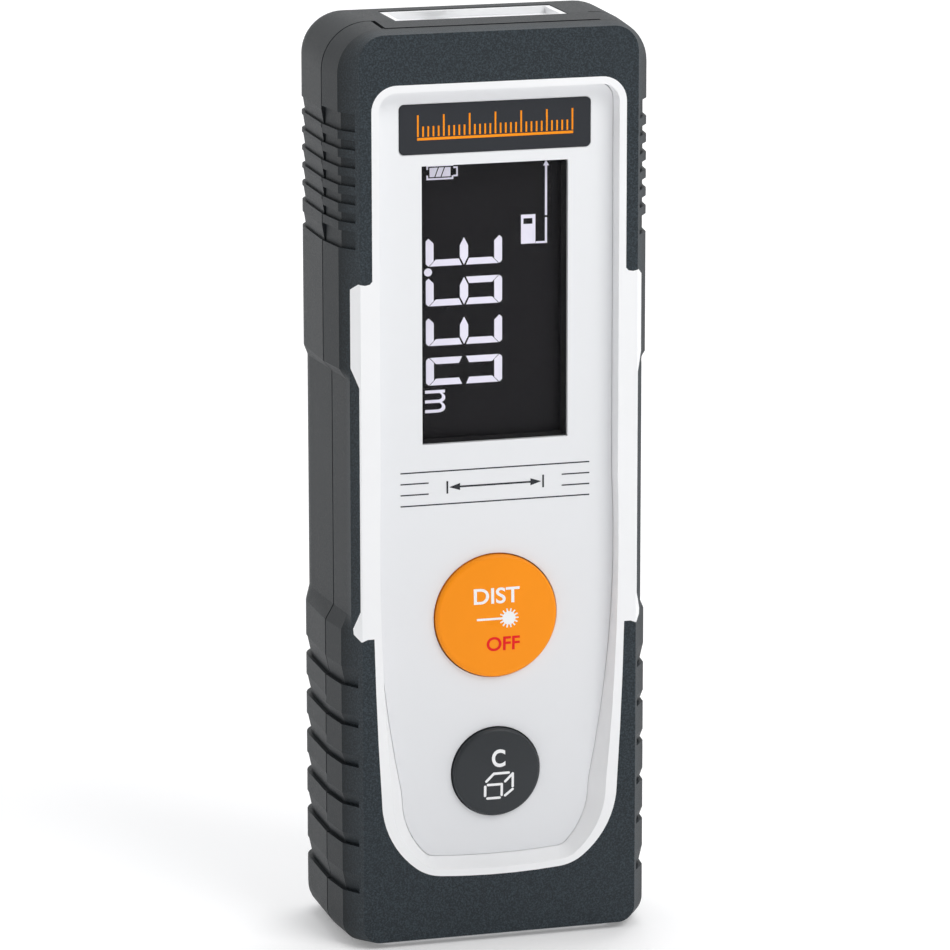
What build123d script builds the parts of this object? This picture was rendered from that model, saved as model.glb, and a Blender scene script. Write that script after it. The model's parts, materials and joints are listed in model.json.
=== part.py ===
from build123d import *
import os
from math import cos, radians, sin, sqrt

# A pocket laser distance meter. It stands on its white base plate: the origin is the middle of that
# face, X is across the width, +Y goes to the back, +Z goes up to the optics. Millimetres.

# ---- housing: overall sizes ----------------------------------------------------------------------
HEIGHT = 109.7            # base plate to top
DEPTH = 21.5              # front face to back
HALF_WIDTH = 19.2         # half the width at the seam, where it is widest
FRONT_Y = -DEPTH / 2
BACK_Y = DEPTH / 2
SEAM_DEPTH = 7.9          # front face to the seam between the halves
SEAM_Y = FRONT_Y + SEAM_DEPTH
TOP_SEAM_DEPTH = 3.0      # where the seam comes forward on the top
TOP_SEAM_HALF = 13.0      # half the length of that stretch
BEVEL_DEPTH = 2.85        # the wide bevel round the front face
BEVEL_WIDTH = 1.85
FRONT_DRAFT = 0.6         # narrowing of each side from the seam to the bevel
REAR_DRAFT = 0.1          # narrowing of each side from the seam to the back corner
REAR_CORNER = 5.0         # depth of the rounded back corner
REAR_RADIUS = 4.5
FOOT_GAP = 0.4            # the grip ends this far above the base plate's face
CORNER_TOP = 5.5
CORNER_BOTTOM = 3.0

# ---- waist: the narrower stretch for the fingers -------------------------------------------------
WAIST_LOW = 40.6
WAIST_DROP = 40.9         # its upper end, below the top
WAIST_RAMP_LOW = 1.8
WAIST_RAMP_HIGH = 1.2
WAIST_SEAM = 1.03         # how far it steps in at the seam
WAIST_REAR = 0.45         # and at the back corner
WAIST_BEVEL_DEPTH = 1.4   # the bevel is narrower there
WAIST_BEVEL_WIDTH = 0.98

# ---- walls ---------------------------------------------------------------------------------------
GRIP = 1.0                # soft overmould
WALL = 1.4                # shell under it
FRONT_WALL = 1.0          # shell behind the face plate
SEAM_GROOVE = 0.25
SEAM_GROOVE_DEEP = 0.5
TOP_GROOVE = 0.55
FIT = 0.05                # close fit of pieces that do not move
RUN = 0.15                # clearance all round a button
COVER_GAP = 0.25          # clearance all round the battery cover

# ---- ribs: pockets in the front half, slanting steps in the rear half ----------------------------
FINE_POCKETS = 7
FINE_PITCH = 2.12
FINE_DROP = 11.68         # lower edge of the first pocket, below the top
FINE_TALL = 1.12
FINE_END_TALL = 2.1       # the first and the last pocket are taller
FINE_DEEP = 0.45
FINE_STEP = 0.3           # depth of the rear half's steps
FINE_STEP_TALL = 1.7
PADS = 6
PAD_PITCH = 4.85
PAD_LOW = 32.1            # lower edge of the first pocket
PAD_TALL = 1.4
PAD_END_TALL = 2.3
PAD_DEEP = 0.55
PAD_STEP_TALL = 2.4
RIB_FRONT = 0.6           # ribs stop this far behind the front face
RIB_BACK_TURN = 60        # and this far round the back corner, in degrees
FADE = 0.02               # depth where a slanting cut fades out

# ---- white rim and the sunk face -----------------------------------------------------------------
RIM_INSET = 1.42          # front face's edge to the rim's outer edge
RIM_DROP = 6.4            # rim's top edge, below the top
RIM_CORNER = 3.0
RIM_STRIP = 0.88
RECESS = 2.0              # depth of the sunk face
PLATE = 0.6               # face plate thickness
PLATE_SIDE = 1.03         # rim's outer edge to the plate's side
PLATE_DROP = 1.0          # and to its top edge
STRAIGHT_TO = 56.0        # below this the sides draw in
FLANK_LOW = 38.3          # stretch where the white shell comes out to the sides
FLANK_DROP = 29.6         # its upper end, below the top
FLANK_REACH = 0.89        # how far the white goes past the front face's edge
FLANK_WAIST_REACH = 0.15
KNEE_Z = 18.2             # upper end of the large lower corners
BELLY_DROP = 5.0          # the draw-in's middle point lies this far below half way
BELLY_SHARE = 0.22        # and has this share of the whole draw-in
BEND_OUT = 0.665          # middle of a lower corner, as shares of its width and height
BEND_UP = 0.355
RIM_DRAW_IN = 0.85        # how far each outline has drawn in at the knee
MOUTH_DRAW_IN = 1.35
PLATE_DRAW_IN = 2.8
PLATE_CORNER = 1.9
RIM_FOOT = (8.7, 8.6, 8.15)       # foot: half its length, height at its ends and in the middle
MOUTH_FOOT = (8.5, 9.4, 9.0)
PLATE_FOOT = (8.3, 10.45, 10.1)
RIM_TURN = 5.5            # radius of the turn from each lower corner into the foot
MOUTH_TURN = 3.4
PLATE_TURN = 1.6
KNEE_TURN = 14.0          # radius that smooths the knee

# ---- display -------------------------------------------------------------------------------------
WINDOW_HALF = 8.84
WINDOW_TALL = 32.94
WINDOW_DROP = 16.26       # its upper edge, below the top
GASKET_RIM = 1.2
GLASS_GAP = 2.6           # face plate's front to the display glass
GLASS = 1.15
GLASS_MARGIN = 1.6        # the glass is larger than the window by this
LAMP = 1.0
HOLDER_RIM = 1.3

# ---- nameplate -----------------------------------------------------------------------------------
NAME_HALF = 11.52
NAME_TALL = 5.81
NAME_DROP = 9.02          # its upper edge, below the top
NAME_CORNER = 0.6
NAME_THICK = 0.3
NAME_SUNK = 0.2

# ---- buttons -------------------------------------------------------------------------------------
MEASURE_Z = 39.4
MEASURE_R = 7.42
CLEAR_Z = 20.3
CLEAR_R = 5.36
BUTTON_PROUD = 1.0
BUTTON_DOME = 0.35        # the crown of the button's face
BUTTON_EDGE = 0.45
BUTTON_FLANGE = 0.8
FLANGE_THICK = 0.8
TRAVEL = 0.5
STEM_R = 1.5
STEM_GAP = 0.1            # the stem stops this far short of its pressed dome
DOME_R = 3.0
DOME_HIGH = 0.4
DOME_THICK = 0.15
MAT_THICK = 0.6

# ---- circuit board -------------------------------------------------------------------------------
BOARD = 1.0
BOARD_SIDE = 0.37         # gap to the shell's narrowest place
BOARD_LOW = 11.0
BOARD_DROP = 5.4          # board's upper edge, below the top
BOARD_SCREW_EDGE = 1.4
BOARD_SCREW_LOW = 14.5
BOARD_SCREW_DROP = 10.2
BOARD_HEAD_R = 1.05
BOARD_HEAD_HIGH = 0.7
BUZZER_R = 3.4
BUZZER_Z = 27.5

# ---- battery bay ---------------------------------------------------------------------------------
CELL_R = 5.25
CELL_LONG = 43.7
NUB_R = 1.9
NUB_LONG = 0.8
CELL_APART = 0.7          # gap between the two cells
CELL_GAP = 0.25
BAY_FLOOR = 1.0
BAY_WALL = 1.8
BAY_TOP = 1.5             # the bay's block reaches this far above the cover
LEAD_R = 0.45
SPRING_ROOM = 3.3
CONTACT = 0.3
WIRE_R = 0.22

# ---- battery cover -------------------------------------------------------------------------------
COVER = 1.4
COVER_LAP = 1.1           # the cover is wider than the bay by this on each side
COVER_LOW = 12.0
COVER_TALL = 54.0
TAB_X = 7.6
TAB_WIDE = 4.0
TAB_DROP = 1.6            # how far the tabs reach below the cover's lower edge
TAB_THICK = 1.2
TAB_GAP = 0.15

# ---- optics --------------------------------------------------------------------------------------
INSET_HALF = 10.4
INSET_FRONT = 7.4         # front face to the inset's front edge
INSET_DEEP = 7.6
INSET_SUNK = 0.8
EYE_X = -4.0              # receiving lens
EYE_R = 3.0
BEAM_X = 7.4              # laser
BEAM_R = 1.7
CHASSIS_DROP = 4.3        # its upper face, below the top
CHASSIS_TALL = 21.4
LENS_R = 3.3
CHASSIS_SCREW_X = (EYE_X - 5.0, BEAM_X + 3.6)
CHASSIS_SCREW_RISE = 2.6  # above the board's upper screws
CHASSIS_HEAD_R = 1.1
CHASSIS_HEAD_HIGH = 0.7

# ---- base plate and screws -----------------------------------------------------------------------
BASE_SIDE = 4.75          # widest side to the base plate's side
BASE_CORNER = 1.5
BASE_FRONT = 1.8          # front face to the base plate's front edge
BASE_BACK = 2.9
SCREW_LOW_X = 12.0
SCREW_LOW_Z = 7.0
SCREW_HIGH_X = 14.2
SCREW_HIGH_DROP = 34.7
SCREW_R = 0.9
HEAD_R = 1.55
HEAD_HIGH = 1.0
BOSS_R = 2.0
LABEL_HALF = 10.5
LABEL_TALL = 22.0
LABEL_DROP = 10.7
LABEL_THICK = 0.14
LABEL_SUNK = 0.06         # the label lies this far below the back face

# ---- places worked out from the sizes ------------------------------------------------------------
FRONT_HALF = HALF_WIDTH - FRONT_DRAFT - BEVEL_WIDTH
WAIST_HIGH = HEIGHT - WAIST_DROP
FINE_TOP = HEIGHT - FINE_DROP
RIM_HALF = FRONT_HALF - RIM_INSET
RIM_TOP = HEIGHT - RIM_DROP
PLATE_HALF = RIM_HALF - PLATE_SIDE
PLATE_TOP = RIM_TOP - PLATE_DROP
FLANK_HIGH = HEIGHT - FLANK_DROP
WINDOW_HIGH = HEIGHT - WINDOW_DROP
WINDOW_LOW = WINDOW_HIGH - WINDOW_TALL
NAME_HIGH = HEIGHT - NAME_DROP
NAME_LOW = NAME_HIGH - NAME_TALL
PLATE_Y = FRONT_Y + RECESS                 # front of the face plate
POCKET_Y = PLATE_Y + PLATE                 # floor that the face plate lies on
INNER_Y = POCKET_Y + FRONT_WALL            # inside of the front wall
GLASS_Y = PLATE_Y + GLASS_GAP
LAMP_Y = GLASS_Y + GLASS
BOARD_Y = LAMP_Y + LAMP + 2 * FIT          # front of the circuit board
BOARD_BACK = BOARD_Y + BOARD
BOARD_HALF = HALF_WIDTH - WAIST_SEAM - GRIP - WALL - BOARD_SIDE
BOARD_HIGH = HEIGHT - BOARD_DROP
BOARD_SCREW_X = BOARD_HALF - BOARD_SCREW_EDGE
BOARD_SCREW_HIGH = HEIGHT - BOARD_SCREW_DROP
CHASSIS_SCREW_Z = BOARD_SCREW_HIGH + CHASSIS_SCREW_RISE
MAT_HALF = MEASURE_R + BUTTON_FLANGE
BUZZER_X = BOARD_HALF - BUZZER_R - 0.2
COVER_Y = BACK_Y - COVER                   # inside of the battery cover
CELL_X = CELL_R + CELL_APART / 2
CELL_Y = COVER_Y - CELL_GAP - CELL_R
BAY_Y = CELL_Y - CELL_R - CELL_GAP         # floor of the battery bay
BAY_HALF = CELL_X + CELL_R + CELL_GAP
COVER_HALF = BAY_HALF + COVER_LAP
COVER_HIGH = COVER_LOW + COVER_TALL
BAY_LOW = COVER_LOW + 1.2
BAY_HIGH = BAY_LOW + 2 * CONTACT + SPRING_ROOM + CELL_LONG + NUB_LONG + CELL_GAP
CAVITY = GRIP + WALL
INSET_Y = FRONT_Y + INSET_FRONT + INSET_DEEP / 2
CHASSIS_HIGH = HEIGHT - CHASSIS_DROP
CHASSIS_LOW = CHASSIS_HIGH - CHASSIS_TALL
BASE_HALF = HALF_WIDTH - BASE_SIDE
LABEL_HIGH = HEIGHT - LABEL_DROP
LABEL_LOW = LABEL_HIGH - LABEL_TALL
SCREW_PLACES = [(side * x, z) for side in (-1, 1)
                for x, z in ((SCREW_LOW_X, SCREW_LOW_Z), (SCREW_HIGH_X, HEIGHT - SCREW_HIGH_DROP))]
BOARD_SCREW_PLACES = [(side * BOARD_SCREW_X, z) for side in (-1, 1)
                      for z in (BOARD_SCREW_LOW, BOARD_SCREW_HIGH)]
FAR = HEIGHT + HALF_WIDTH + DEPTH          # larger than the object, for cutting blocks


def block(x0, x1, y0, y1, z0, z1):
    """A box between two corners."""
    middle = ((x0 + x1) / 2, (y0 + y1) / 2, (z0 + z1) / 2)
    return Pos(*middle) * Box(x1 - x0, y1 - y0, z1 - z0)


def rod(x, z, radius, y0, y1):
    """A round bar along Y."""
    return Pos(x, (y0 + y1) / 2, z) * Rot(90, 0, 0) * Cylinder(radius, y1 - y0)


def post(x, y, radius, z0, z1):
    """A round bar along Z."""
    return Pos(x, y, (z0 + z1) / 2) * Cylinder(radius, z1 - z0)


def front_plane(y):
    """The plane across Y at this depth: sketches lie in X and Z."""
    return Plane(origin=(0, y, 0), x_dir=(1, 0, 0), z_dir=(0, -1, 0))


def slab(sketch, y0, y1):
    """A sketch in X and Z made solid from y0 back to y1."""
    return extrude(front_plane(y1) * sketch, y1 - y0)


def closed(y, edges, turns=()):
    """A wire at one depth from lines and 3-point arcs in X and Z, with rounded turns (x, z, radius)."""
    pieces = []
    for edge in edges:
        points = [Vector(x, y, z) for x, z in edge]
        make = Edge.make_three_point_arc if len(points) == 3 else Edge.make_line
        pieces.append(make(*points))
    wire = Wire(pieces)
    for x, z, radius in turns:
        near = wire.vertices().sort_by_distance((x, y, z))[0]
        wire = wire.fillet_2d(radius, [near])
    return wire


def mirrored(edges):
    """The right-hand edges, joined to their mirror image by a top and a bottom edge."""
    left = [tuple((-x, z) for x, z in reversed(edge)) for edge in reversed(edges)]
    top = (edges[-1][-1], left[0][0])
    return edges + [top] + left


# ---- housing outlines ----------------------------------------------------------------------------
def outline(y, half, waist, low, high, r_low, r_high):
    """The housing's outline across Y at one depth."""
    off = 1 - sqrt(0.5)
    right = [
        ((half - r_low, low), (half - off * r_low, low + off * r_low), (half, low + r_low)),
        ((half, low + r_low), (half, WAIST_LOW - WAIST_RAMP_LOW)),
        ((half, WAIST_LOW - WAIST_RAMP_LOW), (waist, WAIST_LOW)),
        ((waist, WAIST_LOW), (waist, WAIST_HIGH)),
        ((waist, WAIST_HIGH), (half, WAIST_HIGH + WAIST_RAMP_HIGH)),
        ((half, WAIST_HIGH + WAIST_RAMP_HIGH), (half, high - r_high)),
        ((half, high - r_high), (half - off * r_high, high - off * r_high), (half - r_high, high)),
    ]
    edges = mirrored(right)
    edges.append((edges[-1][-1], edges[0][0]))
    return closed(y, edges)


def envelope(inset):
    """The housing's outer form, or the same form a wall thickness further in."""
    bevel_half = HALF_WIDTH - FRONT_DRAFT
    waist_seam = HALF_WIDTH - WAIST_SEAM
    waist_bevel = FRONT_HALF + WAIST_BEVEL_WIDTH
    share = WAIST_BEVEL_DEPTH / BEVEL_DEPTH
    side = (BEVEL_DEPTH - WAIST_BEVEL_DEPTH) / (SEAM_DEPTH - WAIST_BEVEL_DEPTH)
    waist_side = waist_bevel + side * (waist_seam - waist_bevel)
    rear_half = HALF_WIDTH - REAR_DRAFT
    rear_depth = DEPTH - REAR_CORNER
    levels = [
        (inset, FRONT_HALF, FRONT_HALF, 2 * FOOT_GAP, HEIGHT - 0.54, 2.0, 3.0),
        (WAIST_BEVEL_DEPTH, FRONT_HALF + share * BEVEL_WIDTH, waist_bevel, 0.65, HEIGHT - 0.35, 2.2, 4.0),
        (BEVEL_DEPTH, bevel_half, waist_side, 0.5, HEIGHT - 0.2, 2.5, 5.0),
        (SEAM_DEPTH, HALF_WIDTH, waist_seam, FOOT_GAP, HEIGHT, CORNER_BOTTOM, CORNER_TOP),
        (rear_depth, rear_half, rear_half - WAIST_REAR, FOOT_GAP, HEIGHT, CORNER_BOTTOM, REAR_CORNER),
        (DEPTH - inset, rear_half, rear_half - WAIST_REAR, FOOT_GAP, HEIGHT, CORNER_BOTTOM, REAR_CORNER),
    ]
    wires = []
    for depth, half, waist, low, high, r_low, r_high in levels:
        if depth < inset:
            continue
        corner = max(r_low - inset, 0.6)
        upper = max(r_high - inset, 0.6)
        wires.append(outline(FRONT_Y + depth, half - inset, waist - inset, low + inset, high - inset,
                             corner, upper))
    solid = Solid.make_loft(wires, ruled=True)
    back = [edge for edge in solid.edges() if abs(edge.center().Y - (BACK_Y - inset)) < 0.001]
    return fillet(back, REAR_RADIUS - inset)


# ---- outlines of the white rim and the face ------------------------------------------------------
def face_edges(half, top, corner, draw_in, foot, turn):
    """Straight sides that draw in below, large lower corners and a slightly bowed foot, with their turns."""
    off = 1 - sqrt(0.5)
    foot_half, foot_z, foot_low = foot
    knee = (half - draw_in, KNEE_Z)
    belly = (half - BELLY_SHARE * draw_in, (STRAIGHT_TO + KNEE_Z) / 2 - BELLY_DROP)
    bend = (foot_half + BEND_OUT * (knee[0] - foot_half), foot_z + BEND_UP * (KNEE_Z - foot_z))
    right = [
        ((foot_half, foot_z), bend, knee),
        (knee, belly, (half, STRAIGHT_TO)),
        ((half, STRAIGHT_TO), (half, top - corner)),
        ((half, top - corner), (half - off * corner, top - off * corner), (half - corner, top)),
    ]
    edges = mirrored(right)
    edges.append(((-foot_half, foot_z), (0, foot_low), (foot_half, foot_z)))
    turns = [(side * x, z, radius) for x, z, radius in ((*knee, KNEE_TURN), (foot_half, foot_z, turn))
             for side in (-1, 1)]
    return edges, turns


def rim_edges():
    """Outer edge of the white rim, in the front face."""
    return face_edges(RIM_HALF, RIM_TOP, RIM_CORNER, RIM_DRAW_IN, RIM_FOOT, RIM_TURN)


def mouth_edges():
    """Inner edge of the rim, where the sunk face begins."""
    return face_edges(RIM_HALF - RIM_STRIP, RIM_TOP - RIM_STRIP, RIM_CORNER - RIM_STRIP, MOUTH_DRAW_IN,
                      MOUTH_FOOT, MOUTH_TURN)


def plate_edges(gap):
    """The face plate's outline, smaller by a gap."""
    foot_half, foot_z, foot_low = PLATE_FOOT
    foot = (foot_half - gap, foot_z + gap, foot_low + gap)
    return face_edges(PLATE_HALF - gap, PLATE_TOP - gap, PLATE_CORNER, PLATE_DRAW_IN, foot, PLATE_TURN)


def solid_between(y0, outline0, y1, outline1):
    return Solid.make_loft([closed(y0, *outline0), closed(y1, *outline1)], ruled=True)


def prism(face_outline, y0, y1):
    return solid_between(y0, face_outline, y1, face_outline)


def white_region():
    """What of the front the white shell reaches: the rim and the bare flanks."""
    wide = FRONT_HALF + FLANK_REACH
    slim = FRONT_HALF + FLANK_WAIST_REACH
    right = [
        (0, FLANK_LOW - 0.25), (FRONT_HALF - 0.65, FLANK_LOW - 0.25), (slim - 0.05, FLANK_LOW - 0.54),
        (wide - 0.14, FLANK_LOW + 0.2), (wide - 0.09, FLANK_LOW + 0.9),
        (slim, WAIST_LOW + 0.8), (slim, WAIST_HIGH - 0.7),
        (slim + 0.4, WAIST_HIGH + 0.5), (wide, WAIST_HIGH + 1.5), (wide, FLANK_HIGH - 0.5),
        (wide - 0.7, FLANK_HIGH + 0.25), (FRONT_HALF - 0.55, FLANK_HIGH + 0.1),
        (RIM_HALF + 0.3, FLANK_HIGH + 0.2), (RIM_HALF - 0.05, FLANK_HIGH + 0.6), (0, FLANK_HIGH + 0.6),
    ]
    points = right + [(-x, z) for x, z in reversed(right[1:-1])]
    flank = make_face(Polyline(*points, close=True))
    reach = FRONT_Y + BEVEL_DEPTH + GRIP
    return prism(rim_edges(), FRONT_Y - 1, reach) + slab(flank, FRONT_Y - 1, reach)


# ---- shared cuts ---------------------------------------------------------------------------------
def rear_side():
    """Everything behind the seam, with the stretch that comes forward on the top."""
    tongue = Polyline(
        (-TOP_SEAM_HALF, FRONT_Y + TOP_SEAM_DEPTH), (TOP_SEAM_HALF, FRONT_Y + TOP_SEAM_DEPTH),
        (TOP_SEAM_HALF + 0.6, SEAM_Y + 1), (-TOP_SEAM_HALF - 0.6, SEAM_Y + 1), close=True)
    forward = Pos(0, 0, HEIGHT - CORNER_TOP + 1) * extrude(make_face(tongue), CORNER_TOP + 1)
    return block(-FAR, FAR, SEAM_Y, FAR, -FAR, FAR) + forward


def seam_groove(outer, under):
    """The narrow groove that shows all round at the seam."""
    skin = outer - under
    around = block(-FAR, FAR, SEAM_Y - SEAM_GROOVE / 2, SEAM_Y + SEAM_GROOVE / 2, -FAR, FAR)
    top = block(-TOP_SEAM_HALF, TOP_SEAM_HALF, SEAM_Y - 1, SEAM_Y + 1, HEIGHT - CORNER_TOP, FAR)
    front_y = FRONT_Y + TOP_SEAM_DEPTH
    along = block(-TOP_SEAM_HALF, TOP_SEAM_HALF, front_y - TOP_GROOVE / 2, front_y + TOP_GROOVE / 2,
                  HEIGHT - CORNER_TOP, FAR)
    jog = block(-TOP_SEAM_HALF - SEAM_GROOVE, -TOP_SEAM_HALF + SEAM_GROOVE, front_y, SEAM_Y,
                HEIGHT - CORNER_TOP, FAR)
    return skin & (around - top + along + jog)


def front_line():
    """The side from the bevel to the seam: x, y and the outward direction at each corner."""
    long = sqrt(BEVEL_DEPTH ** 2 + BEVEL_WIDTH ** 2)
    nx, ny = BEVEL_DEPTH / long, -BEVEL_WIDTH / long
    start = FRONT_HALF + BEVEL_WIDTH * RIB_FRONT / BEVEL_DEPTH
    return [(start, FRONT_Y + RIB_FRONT, nx, ny),
            (HALF_WIDTH - FRONT_DRAFT, FRONT_Y + BEVEL_DEPTH, (1 + nx) / 2, ny / 2),
            (HALF_WIDTH, SEAM_Y, 1, 0)]


def rear_line():
    """The side from the seam round the back corner."""
    half = HALF_WIDTH - REAR_DRAFT
    line = [(HALF_WIDTH, SEAM_Y, 1, 0)]
    for turn in (0, RIB_BACK_TURN / 2, RIB_BACK_TURN):
        nx, ny = cos(radians(turn)), sin(radians(turn))
        line.append((half - REAR_RADIUS * (1 - nx), BACK_Y - REAR_RADIUS * (1 - ny), nx, ny))
    return line


def notches(line, low, high, deep_low, deep_high):
    """Cutters for both sides, whose depth changes evenly between two heights."""
    wires = []
    for z, deep in ((low, deep_low), (high, deep_high)):
        inner = [(x - deep * nx, y - deep * ny, z) for x, y, nx, ny in line]
        outer = [(x + 2 * nx, y + 2 * ny, z) for x, y, nx, ny in reversed(line)]
        wires.append(Wire.make_polygon(inner + outer, close=True))
    right = Solid.make_loft(wires, ruled=True)
    return [right, mirror(right, Plane.YZ)]


def rib_places():
    """Lower edge, height, depth, step depth and step height of each rib's pocket."""
    places = []
    for k in range(FINE_POCKETS):
        low = HEIGHT - FINE_DROP - k * FINE_PITCH
        tall = FINE_TALL
        if k == 0:
            tall = FINE_END_TALL
        if k == FINE_POCKETS - 1:
            low -= FINE_END_TALL - FINE_TALL
            tall = FINE_END_TALL
        places.append((low, tall, FINE_DEEP, FINE_STEP, FINE_STEP_TALL))
    for k in range(PADS):
        low = PAD_LOW - k * PAD_PITCH
        tall = PAD_TALL
        if k == 0:
            tall = PAD_END_TALL
        if k == PADS - 1:
            low -= PAD_END_TALL - PAD_TALL
            tall = PAD_END_TALL
        places.append((low, tall, PAD_DEEP, PAD_DEEP, PAD_STEP_TALL))
    return places


def front_cuts():
    """Pockets between the ribs: even ones above, slanting ones in the pads."""
    cuts = []
    for low, tall, deep, step, _ in rib_places():
        upper = deep if deep != step else FADE
        cuts += notches(front_line(), low, low + tall, deep, upper)
    return cuts


def rear_cuts():
    cuts = []
    for low, _, _, step, step_tall in rib_places():
        cuts += notches(rear_line(), low, low + step_tall, step, FADE)
    return cuts


def cover_opening():
    """The opening for the battery cover, right through the back wall's outer part."""
    return block(-COVER_HALF - COVER_GAP, COVER_HALF + COVER_GAP, COVER_Y - FIT, FAR,
                 COVER_LOW - COVER_GAP, COVER_HIGH + COVER_GAP)


def tab_pockets():
    """Room for the cover's two tabs and for their swing."""
    swing = sqrt((COVER + TAB_GAP + TAB_THICK) ** 2 + TAB_DROP ** 2) + COVER_GAP
    pockets = []
    for x in (-TAB_X, TAB_X):
        half = TAB_WIDE / 2 + COVER_GAP
        pockets.append(block(x - half, x + half, BACK_Y - swing, COVER_Y - FIT,
                             COVER_LOW - TAB_DROP - COVER_GAP, BAY_LOW + 0.1))
    return pockets


def inset_block(gap):
    """The optic inset's opening in the top."""
    return block(-INSET_HALF - gap, INSET_HALF + gap, INSET_Y - INSET_DEEP / 2 - gap,
                 INSET_Y + INSET_DEEP / 2 + gap, CHASSIS_HIGH, FAR)


def base_block(gap, top):
    """The base plate's form, larger by a gap."""
    plate = block(-BASE_HALF - gap, BASE_HALF + gap, FRONT_Y + BASE_FRONT - gap, BACK_Y - BASE_BACK + gap,
                  0, top)
    return fillet(plate.edges().filter_by(Axis.Z), BASE_CORNER + gap)


# ---- housing pieces ------------------------------------------------------------------------------
def front_shell(outer, skin, cavity):
    shell = skin - block(-FAR, FAR, SEAM_Y, FAR, -FAR, FAR)
    shell += outer & white_region()
    shell -= cavity & block(-FAR, FAR, INNER_Y, FAR, -FAR, FAR)
    shell -= solid_between(FRONT_Y, mouth_edges(), PLATE_Y, plate_edges(0))
    shell -= prism(plate_edges(0), PLATE_Y - 0.01, POCKET_Y)
    rim = GASKET_RIM + FIT
    shell -= block(-WINDOW_HALF - rim, WINDOW_HALF + rim, FRONT_Y, INNER_Y + 1,
                   WINDOW_LOW - rim, WINDOW_HIGH + rim)
    for z, radius in ((MEASURE_Z, MEASURE_R), (CLEAR_Z, CLEAR_R)):
        shell -= rod(0, z, radius + RUN, FRONT_Y, INNER_Y + 1)
    for x, z in SCREW_PLACES:
        shell += rod(x, z, BOSS_R, INNER_Y - 0.5, SEAM_Y) & skin
        shell -= rod(x, z, SCREW_R, BOARD_Y - 1, SEAM_Y + 1)
    for x, z in BOARD_SCREW_PLACES:
        shell += rod(x, z, BOSS_R - 0.2, INNER_Y - 0.5, BOARD_Y) & skin
        shell -= rod(x, z, SCREW_R - 0.2, BOARD_Y - 2.2, BOARD_Y + 1)
    return shell - inset_block(FIT)


def front_grip(outer, skin, behind, groove):
    grip = outer - skin - behind - white_region() - groove
    grip -= front_cuts()
    return grip - base_block(FIT, 2 * GRIP) - inset_block(FIT)


def rear_shell(skin, cavity):
    shell = (skin - cavity) & block(-FAR, FAR, SEAM_Y, FAR, -FAR, FAR)
    outside = BAY_HALF + BAY_WALL
    bay = block(-outside, outside, BAY_Y - BAY_FLOOR, BACK_Y, COVER_LOW - TAB_DROP - 1,
                COVER_HIGH + BAY_TOP)
    shell += bay & skin
    shell -= block(-BAY_HALF, BAY_HALF, BAY_Y, BACK_Y, BAY_LOW, BAY_HIGH)
    for x, z in SCREW_PLACES:
        shell += rod(x, z, BOSS_R, SEAM_Y, BACK_Y) & skin
        shell -= rod(x, z, SCREW_R + FIT, SEAM_Y - 1, BACK_Y)
        shell -= rod(x, z, HEAD_R + FIT, COVER_Y - HEAD_HIGH, BACK_Y)
    for x, z in BOARD_SCREW_PLACES:
        shell -= rod(x, z, BOARD_HEAD_R + RUN, SEAM_Y - 1, BOARD_BACK + BOARD_HEAD_HIGH + RUN)
    shell -= cover_opening()
    for pocket in tab_pockets():
        shell -= pocket
    return shell - inset_block(FIT)


def rear_grip(outer, skin, behind, groove):
    grip = ((outer - skin) & behind) - groove
    grip -= rear_cuts()
    grip -= cover_opening()
    grip -= block(-LABEL_HALF - FIT, LABEL_HALF + FIT, BACK_Y - LABEL_SUNK - LABEL_THICK, FAR,
                  LABEL_LOW - FIT, LABEL_HIGH + FIT)
    for x, z in SCREW_PLACES:
        grip -= rod(x, z, HEAD_R + FIT, BACK_Y - 2 * GRIP - 1, FAR)
    return grip - base_block(FIT, 2 * GRIP) - inset_block(FIT)


def base_plate():
    plate = base_block(0, FOOT_GAP + GRIP)
    return chamfer(plate.faces().sort_by(Axis.Z)[0].edges(), 0.3)


# ---- the sunk face -------------------------------------------------------------------------------
def face_plate():
    plate = prism(plate_edges(FIT), PLATE_Y, POCKET_Y)
    plate -= block(-WINDOW_HALF, WINDOW_HALF, FRONT_Y, FAR, WINDOW_LOW, WINDOW_HIGH)
    for z, radius in ((MEASURE_Z, MEASURE_R), (CLEAR_Z, CLEAR_R)):
        plate -= rod(0, z, radius + RUN, FRONT_Y, FAR)
    sunk = RectangleRounded(2 * (NAME_HALF + FIT), NAME_HIGH - NAME_LOW + 2 * FIT, NAME_CORNER)
    return plate - slab(Pos(0, (NAME_LOW + NAME_HIGH) / 2) * sunk, FRONT_Y, PLATE_Y + NAME_SUNK)


def nameplate():
    shape = RectangleRounded(2 * NAME_HALF, NAME_HIGH - NAME_LOW, NAME_CORNER)
    back = PLATE_Y + NAME_SUNK
    return slab(Pos(0, (NAME_LOW + NAME_HIGH) / 2) * shape, back - NAME_THICK, back)


def display_window():
    return block(-WINDOW_HALF + FIT, WINDOW_HALF - FIT, PLATE_Y + FIT, POCKET_Y, WINDOW_LOW + FIT,
                 WINDOW_HIGH - FIT)


def display_gasket():
    frame = block(-WINDOW_HALF - GASKET_RIM, WINDOW_HALF + GASKET_RIM, POCKET_Y, GLASS_Y,
                  WINDOW_LOW - GASKET_RIM, WINDOW_HIGH + GASKET_RIM)
    inner = 0.1
    return frame - block(-WINDOW_HALF + inner, WINDOW_HALF - inner, FRONT_Y, FAR, WINDOW_LOW + inner,
                         WINDOW_HIGH - inner)


def display_glass():
    grow = GLASS_MARGIN
    return block(-WINDOW_HALF - grow, WINDOW_HALF + grow, GLASS_Y, LAMP_Y, WINDOW_LOW - grow,
                 WINDOW_HIGH + grow)


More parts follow.
